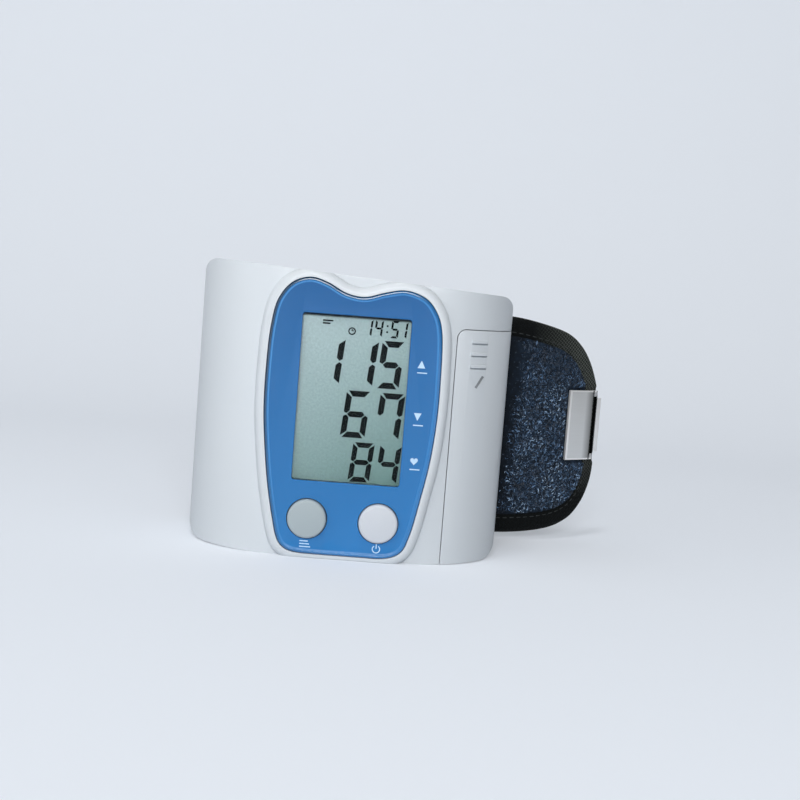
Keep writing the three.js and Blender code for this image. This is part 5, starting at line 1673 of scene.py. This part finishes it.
class MONITOR_OT_finishes(MonitorOperator, bpy.types.Operator):
    """Every material of the monitor"""

    bl_idname = "monitor.finishes"
    bl_label = "Finishes"

    def execute(self, context):
        scene = context.scene
        cuff, face, display = scene.monitor_cuff, scene.monitor_face, scene.monitor_display
        shell_colour = scene.monitor_shell.shell_colour
        clamp_colour = scene.monitor_metal.metal_colour
        GROUP["grain"] = grain_group()
        GROUP["weave"] = weave_group()
        # each with its name, colour, roughness, depth of grain and spread of shade
        outside = {
            "shell": ("Pale shell", shell_colour, 0.42, 0.1, 0.015),
            "groove": ("Groove shadow", shade(shell_colour, 0.42), 0.6, 0.1, 0.03),
            "print": ("Pale print", face.print_colour, 0.5, 0.05, 0.04),
            "memory_button": ("Grey rubber", scene.monitor_buttons.memory_colour, 0.5, 0.2, 0.04),
            "power_button": ("Pale rubber", scene.monitor_buttons.power_colour, 0.5, 0.2, 0.03),
            "digit": ("Dark segments", display.digit_colour, 0.6, 0.02, 0.05),
            "thread": ("Grey thread", cuff.thread_colour, 0.7, 0.6, 0.2, 3600.0),
        }
        for key, values in outside.items():
            FINISH[key] = moulded(*values)
        FINISH["digit"].set(Specular_IOR_Level=0.08)
        FINISH["blue"] = self.blue(face)
        # the plate's edge gets painted shade and the lip a painted highlight, both fullest at the upper
        # left
        FINISH["edge_painted_shade"] = self.rim("Plate edge", shade(face.plate_colour, 0.95), face.edge_shade_colour)
        FINISH["lip_slope"] = self.rim("Lip slope", face.plate_colour, face.plate_colour, 0.0, 0.55)
        FINISH["lip_painted_highlight"] = self.rim("Lip line", face.plate_colour, face.lip_highlight_colour, 0.0, 0.5)
        FINISH["display"] = self.display(display)
        FINISH["glass"] = self.glass()
        FINISH["cloth"] = cloth("Black cloth", cuff.cloth_colour, 2400.0)
        FINISH["binding"] = self.binding(cuff)
        FINISH["webbing"] = cloth("Black webbing", cuff.cloth_colour, 900.0, 2.0, 0.8)
        # the pile and the hook tape both get painted glints in their light colours
        FINISH["pile"] = self.pile("Navy pile", shade(cuff.pile_colour, 0.55),
                                   shade(cuff.speck_colour, 0.35), 620, PILE_SHADED_ROOT)
        FINISH["yarn"] = self.yarn(cuff)
        FINISH["hook"] = self.pile("Black hook tape", shade(cuff.cloth_colour, 1.2),
                                   shade(cuff.cloth_colour, 5), 1300)
        FINISH["metal"] = self.plated(cuff, scene.monitor_metal)
        # painted dark reflection: the plated wire is coloured near black, so that its gloss shows only
        # bright lines
        FINISH["wire"] = metal("Dark plated wire", shade(clamp_colour, 0.12), 0.2)
        inside = {
            "inner": ("Inner plastic", "8D9297", 0.6), "chip": ("Black moulding", "1C1E20", 0.5),
            "silicone": ("Silicone", "B9BFC4", 0.75), "pump_black": ("Pump moulding", "26282B", 0.55),
            "tube": ("Clear tube", "D9DCD2", 0.4), "former": ("Former", "3A3D41", 0.55),
            "bladder": ("Bladder film", "596065", 0.6), "jacket": ("Cell jacket", "2B6F73", 0.3),
            "board": ("Board", "1F6B46", 0.4),
        }
        for key, (label, code, rough) in inside.items():
            FINISH[key] = moulded(label, from_hex(code), rough, 0.2, 0.08)
        FINISH["contact"] = metal("Contact metal", from_hex("C9CCCE"), 0.3)
        FINISH["motor"] = metal("Motor can", from_hex("B4B8BB"), 0.3)
        FINISH["screw"] = metal("Screw steel", from_hex("9A9DA0"), 0.35)
        return {"FINISHED"}

    def blue(self, face):
        """Glossy blue with painted shade that makes it a little darker at the humps, with faint marks of
        use.
        """
        finish = Finish("Blue gloss", face.plate_colour, 0.2)
        rise = finish.maths("MULTIPLY", finish.axes(finish.place())["Z"], 1 / PLATE_BOX[1][2], clamp=True)
        grained = finish.group(GROUP["grain"], Vector=finish.place(), Fine=1800.0)
        # painted shade: darker blue towards the top of the plate
        tone = finish.mix(rise, face.plate_colour, face.top_shade_colour)
        worn = finish.mix(grained["Shade"], (0.95, 0.95, 0.95), (1.05, 1.05, 1.05))
        finish.set(
            Base_Color=finish.mix(1, tone, worn, "MULTIPLY"),
            Roughness=finish.ramp(grained["Wear"], [(0.35, 0.16), (0.75, 0.26)]),
            Coat_Weight=0.22, Coat_Roughness=0.05, Specular_IOR_Level=0.35,
        )
        finish.bump(grained["Height"], 0.02, 0.02 * MM)
        return finish

    def rim(self, name, plain, painted_light_tone, coat=0.9, roughness=0.12):
        """Gloss of the plate's rounded rim, with a painted tone, shade on the edge and a highlight on the
        lip, fullest at the upper left.
        """
        half_width, height = 21.7 * MM, 70 * MM
        finish = Finish(name, plain, roughness)
        axes = finish.axes(finish.place())
        # painted light: the second tone shows most towards the upper left and fades to the plain one at the
        # lower right
        left = finish.maths("MULTIPLY", axes["X"], -0.42 / half_width)
        level = finish.maths("MULTIPLY_ADD", axes["Z"], 0.85 / height, left, clamp=True)
        specks = finish.noise(finish.place(), 900, 3)
        finish.set(
            Base_Color=finish.mix(level, plain, painted_light_tone),
            Roughness=finish.ramp(specks, [(0.3, 0.7 * roughness), (0.8, 1.3 * roughness)]),
            Coat_Weight=coat, Coat_Roughness=0.05,
        )
        finish.bump(specks, 0.02, 0.02 * MM)
        return finish

    def display(self, sizes):
        """Grey-green panel, paler at the upper left, with a painted shadow along its top edge and a fine
        speckle.
        """
        finish = Finish("Grey-green display", sizes.light_colour, 0.45)
        axes = finish.axes(finish.place())
        low, high = LCD_BOX[0][2], LCD_BOX[1][2]
        edge = 0.55 * MM
        up = finish.maths("MULTIPLY_ADD", axes["Z"], 0.75 / (high - low), -0.75 * low / (high - low))
        across = finish.maths("MULTIPLY_ADD", axes["X"], -0.3 / span(LCD_BOX, 0), 0.15)
        level = finish.maths("ADD", up, across, clamp=True)
        tone = finish.mix(level, sizes.dark_colour, sizes.light_colour)
        # painted shadow of the opening's upper edge, in a tone taken from the digits
        shadow = finish.maths("MULTIPLY_ADD", axes["Z"], 1 / edge, (0.5 * MM - high) / edge, clamp=True)
        tone = finish.mix(shadow, tone, shade(sizes.digit_colour, 2))
        specks = finish.noise(finish.place(), 1700, 3)
        speckle = finish.ramp(specks, [(0.3, 0.9), (0.7, 1.08)])
        finish.set(Base_Color=finish.mix(1, tone, speckle, "MULTIPLY"), Specular_IOR_Level=0.2)
        finish.bump(specks, 0.05, 0.02 * MM)
        return finish

    def binding(self, cuff):
        """Black tape with painted highlights on its slanting ribs, most towards the tongue's tip and away
        from its lower edge.
        """
        finish = cloth("Black binding", cuff.cloth_colour, 1250.0, 1.5, 0.9, math.radians(38))
        axes = finish.axes(finish.place(kind="UV"))
        # painted highlight: fades in towards the tongue's tip and away from the lower edge
        tip = finish.maths("MULTIPLY_ADD", axes["X"], 1 / (16 * MM), -20 / 16, clamp=True)
        high = finish.maths("MULTIPLY_ADD", axes["Y"], 1 / (16 * MM), 22 / 16, clamp=True)
        ribs = finish.maths("POWER", finish.weave["Height"], 3.0)
        ribs = finish.maths("MULTIPLY", ribs, finish.maths("MULTIPLY", tip, high))
        # painted highlight colour on the weave's ribs
        finish.set(Base_Color=finish.mix(ribs, finish.tone(), from_hex("5B605B")))
        return finish

    def plated(self, cuff, sizes):
        """Plated sheet with painted highlights along its folded edges and painted shade towards the slot.
        """
        finish = metal("Plated steel", sizes.metal_colour, 0.5, 0.55)
        line = tongue_line()
        end = cuff.tongue_length
        outer = sizes.grip / 2 + sizes.sheet

        def front(s):
            place, normal = line(s)
            return place[0] + normal[0] * outer

        left = front(end - sizes.length)
        width = front(end + sizes.wire + ROLL_PLAY) + outer - left
        slot = [(front(end - sizes.gap_place + side * sizes.gap / 2) - left) / width for side in (-1, 1)]
        rim, fade = 0.45 * MM / width, 0.1 * MM
        axes = finish.axes(finish.place())
        across = finish.maths("MULTIPLY_ADD", axes["X"], 1 / width, -left / width)
        # painted highlight along the plate's left edge and on the bar past the slot
        cover = finish.ramp(across, [(rim, 1), (1.3 * rim, 0), (slot[1] - 0.01, 0), (slot[1] + 0.01, 1)])
        # painted shade, a dark reflection, darkening towards the slot
        shadow = finish.ramp(across, [(0.7 * slot[0], 0), (slot[0], 0.85), (slot[1], 0)])
        off = finish.maths("ABSOLUTE", finish.maths("SUBTRACT", axes["Z"], cuff_middle() - sizes.drop))
        # painted highlight along the top and bottom edges
        ends = finish.maths("MULTIPLY_ADD", off, 1 / fade, (0.5 * MM - sizes.height / 2) / fade, clamp=True)
        tone = finish.mix(shadow, finish.tone(), shade(sizes.metal_colour, 0.25))
        bright = finish.maths("MAXIMUM", cover, ends)
        finish.set(Base_Color=finish.mix(bright, tone, (0.93, 0.93, 0.93)))
        return finish

    def yarn(self, cuff):
        """Single loops, most of them dark, and the brightest painted highlights of loops that catch the
        light.
        """
        finish = Finish("Pile yarn", cuff.pile_colour, 0.55)
        tone = finish.node("ShaderNodeAttribute")
        tone.attribute_name = "tone"
        # painted highlight: the upper end of the ramp brightens loops as if they caught the light
        finish.set(Base_Color=finish.ramp(tone.outputs["Fac"], [
            (0.0, shade(cuff.pile_colour, 0.4)), (0.5, shade(cuff.pile_colour, 1.5)),
            (0.72, from_hex("334E6C")), (0.88, from_hex("6383A8")), (1.0, shade(cuff.speck_colour, 1.15))]))
        finish.bump(finish.noise(finish.place(), 9000, 2), 0.4, 0.03 * MM)
        return finish

    def glass(self):
        """Clear window that hardly bends what lies behind it."""
        finish = Finish("Clear window", (0.96, 0.98, 0.98), 0.04)
        finish.set(Transmission_Weight=1.0, IOR=1.12)
        return finish

    def pile(self, name, base, light, scale, root=None):
        """Loop pile: short bright loops in all directions over a dark ground, their glints painted
        highlights.
        """
        finish = Finish(name, base, 0.9)
        where = finish.place(kind="UV")
        bend = finish.noise(where, scale * 0.35, 3).node.outputs["Color"]
        mixed = finish.node("ShaderNodeMix")
        mixed.data_type = "VECTOR"
        for key, value in ((0, 0.0016), (4, where), (5, bend)):
            finish.fill(mixed.inputs[key], value)
        loops = finish.node("ShaderNodeTexVoronoi", Scale=scale, Randomness=1.0)
        loops.feature = "SMOOTH_F1"
        finish.link(mixed.outputs[1], loops.inputs["Vector"])
        # painted highlight: glints of loops that catch the light, in the light colour
        glint = finish.noise(where, scale * 1.6, 4, 0.7)
        near = loops.outputs["Distance"]
        # the ground is lighter at each loop's middle: partly the loops' pattern, partly painted shade
        # between them
        ground = finish.ramp(near, [(0.0, shade(base, 1.9)), (0.75, shade(base, 0.35))])
        tone = finish.mix(finish.ramp(glint, [(0.6, 0), (0.7, 1)]), ground, light)
        # painted shadow: the pile darkens towards the tongue's root, where the housing shades it
        if root:
            run = root[1] - root[0]
            along = finish.axes(where)["X"]
            full = finish.maths("MULTIPLY_ADD", along, 1 / run, -root[0] / run, clamp=True)
            tone = finish.mix(full, shade(base, 0.3), tone)
        finish.set(Base_Color=tone, Specular_IOR_Level=0.2)
        finish.bump(near, -0.9, 0.4 * MM)
        return finish


# Place and width of each lamp in metres: in front, at the left side and above
LAMPS = {
    "key lamp": ((-0.02, -1.28, 0.6), 0.6),
    "fill lamp": ((-0.9, -0.62, 0.38), 0.8),
    "top lamp": ((-0.1, -0.25, 1.1), 0.22),
}
# The floor's size and middle in metres, the backdrop's height and the radius of the bend between them
FLOOR_SIZE, FLOOR_MIDDLE, BACKDROP, BACKDROP_BEND = (4, 2.4, 1), -0.6, 1.6, 0.35
# How far the picture's middle lies beside the monitor, as a share of its width, and how far behind
# the monitor's foremost place the camera's distance ends
CAMERA_SHIFT, CAMERA_AIM = 0.0608, 2.5 * MM


class MONITOR_OT_stage(MonitorOperator, bpy.types.Operator):
    """The pale floor and backdrop, the soft lamps and the camera"""

    bl_idname = "monitor.stage"
    bl_label = "Stage"

    def execute(self, context):
        sizes = context.scene.monitor_stage
        self.floor(sizes)
        self.sky(sizes)
        self.lamps(sizes)
        self.camera(sizes)
        context.scene.view_settings.view_transform = "Standard"
        return {"FINISHED"}

    def floor(self, sizes):
        """The floor, whose far edge is drawn up into a backdrop."""
        bpy.ops.mesh.primitive_plane_add(size=1, location=(0, 0, 0))
        floor = bpy.context.object
        floor.name = "studio_floor"
        floor.scale = FLOOR_SIZE
        floor.location.y = FLOOR_MIDDLE
        settle(floor)
        edit(floor, "EDGE", "DESELECT")
        done()
        for edge in floor.data.edges:
            edge.select = all(floor.data.vertices[k].co.y > 0 for k in edge.vertices)
        use(floor)
        bpy.ops.object.mode_set(mode="EDIT")
        bpy.ops.mesh.select_mode(type="EDGE")
        bpy.ops.mesh.extrude_region_move(TRANSFORM_OT_translate={"value": (0, 0, BACKDROP)})
        done()
        soften(floor, BACKDROP_BEND, 16, 30)
        smooth(floor, 60)
        base = sizes.floor_colour
        finish = Finish("Studio floor", base, 0.9)
        patches = finish.noise(finish.place(), 3, 2)
        path = finish.node("ShaderNodeLightPath").outputs
        seen = finish.maths("MAXIMUM", path["Is Camera Ray"], path["Is Glossy Ray"])
        seen = finish.maths("MAXIMUM", seen, path["Is Transmission Ray"])
        finish.set(
            Base_Color=finish.mix(patches, shade(base, 0.99), shade(base, 1.01)),
            Specular_IOR_Level=0.1,
            Emission_Color=(0.93, 0.96, 1, 1),
            Emission_Strength=finish.maths("MULTIPLY", seen, sizes.lift),
        )
        paint(floor, finish)

    def sky(self, sizes):
        """Even light that is stronger from the left, behind a plain tone for the camera."""
        world = bpy.data.worlds.new("Soft sky")
        bpy.context.scene.world = world
        world.use_nodes = True
        sky = Nodes(world.node_tree)
        even = world.node_tree.nodes["Background"]
        where = sky.node("ShaderNodeTexCoord").outputs["Generated"]
        slope = sky.maths("MULTIPLY_ADD", sky.axes(where)["X"], -sizes.sky, sizes.sky)
        sky.fill(even.inputs["Color"], (1, 1, 1, 1))
        sky.fill(even.inputs["Strength"], slope)
        seen = sky.node("ShaderNodeBackground", Color=(0.72, 0.76, 0.82, 1))
        path = sky.node("ShaderNodeLightPath").outputs
        choice = sky.node("ShaderNodeMixShader")
        for socket, source in zip(choice.inputs, (path["Is Camera Ray"], even.outputs[0], seen.outputs[0])):
            sky.link(source, socket)
        sky.link(choice.outputs[0], world.node_tree.nodes["World Output"].inputs["Surface"])

    def lamps(self, sizes):
        """Three soft lamps that look at the display."""
        centre = Vector((0, LCD_BOX[0][1], middle(LCD_BOX, 2)))
        powers = (sizes.key, sizes.fill, sizes.top)
        for (name, (place, size)), power in zip(LAMPS.items(), powers):
            lamp = bpy.data.lights.new(name, "AREA")
            lamp.size = size
            lamp.energy = power
            holder = bpy.data.objects.new(name, lamp)
            holder.location = place
            holder.rotation_euler = (centre - Vector(place)).to_track_quat("-Z", "Y").to_euler()
            bpy.context.collection.objects.link(holder)

    def camera(self, sizes):
        """The camera in front of the display, at its pitch and roll."""
        camera = bpy.data.cameras.new("photo camera")
        camera.sensor_width = 36
        camera.lens = sizes.lens
        camera.shift_x = CAMERA_SHIFT
        camera.clip_start, camera.clip_end = 0.01, 50
        holder = bpy.data.objects.new("photo camera", camera)
        front = Vector((0, FRONT_BOX[0][1] + CAMERA_AIM, middle(LCD_BOX, 2)))
        back = Vector((0, -math.cos(sizes.pitch), math.sin(sizes.pitch)))
        holder.matrix_world = (Matrix.Translation(front + back * sizes.distance)
                               @ Matrix.Rotation(QUARTER - sizes.pitch, 4, "X")
                               @ Matrix.Rotation(sizes.roll, 4, "Z"))
        bpy.context.collection.objects.link(holder)
        bpy.context.scene.camera = holder


OPERATORS = (
    MONITOR_OT_stage, MONITOR_OT_finishes, MONITOR_OT_housing, MONITOR_OT_face_plate, MONITOR_OT_display,
    MONITOR_OT_buttons, MONITOR_OT_battery_door, MONITOR_OT_cuff_pad, MONITOR_OT_tongue,
    MONITOR_OT_left_flap, MONITOR_OT_clamp, MONITOR_OT_batteries,
)


class MONITOR_PT_sidebar(bpy.types.Panel):
    """Lists the monitor's sizes and the operators that make its pieces"""

    bl_idname = "MONITOR_PT_sidebar"
    bl_label = "Monitor"
    bl_space_type = "VIEW_3D"
    bl_region_type = "UI"
    bl_category = "Monitor"

    def draw(self, context):
        for operator in OPERATORS:
            self.layout.operator(operator.bl_idname)
        for name, group in GROUPS.items():
            box = self.layout.box()
            for key in group.__annotations__:
                box.prop(getattr(context.scene, name), key)


CLASSES = (*GROUPS.values(), *OPERATORS, MONITOR_PT_sidebar)


def register():
    for item in CLASSES:
        bpy.utils.register_class(item)
    for name, group in GROUPS.items():
        setattr(bpy.types.Scene, name, bpy.props.PointerProperty(type=group))


def unregister():
    for name in GROUPS:
        delattr(bpy.types.Scene, name)
    for item in reversed(CLASSES):
        bpy.utils.unregister_class(item)


def main():
    register()
    bpy.ops.object.select_all(action="DESELECT")
    bpy.ops.monitor.stage()
    bpy.ops.monitor.finishes()
    bpy.ops.monitor.housing()
    bpy.ops.monitor.face_plate()
    bpy.ops.monitor.display()
    bpy.ops.monitor.buttons()
    bpy.ops.monitor.battery_door()
    bpy.ops.monitor.cuff_pad()
    bpy.ops.monitor.tongue()
    bpy.ops.monitor.left_flap()
    bpy.ops.monitor.clamp()
    bpy.ops.monitor.batteries()


if __name__ == "__main__":
    main()
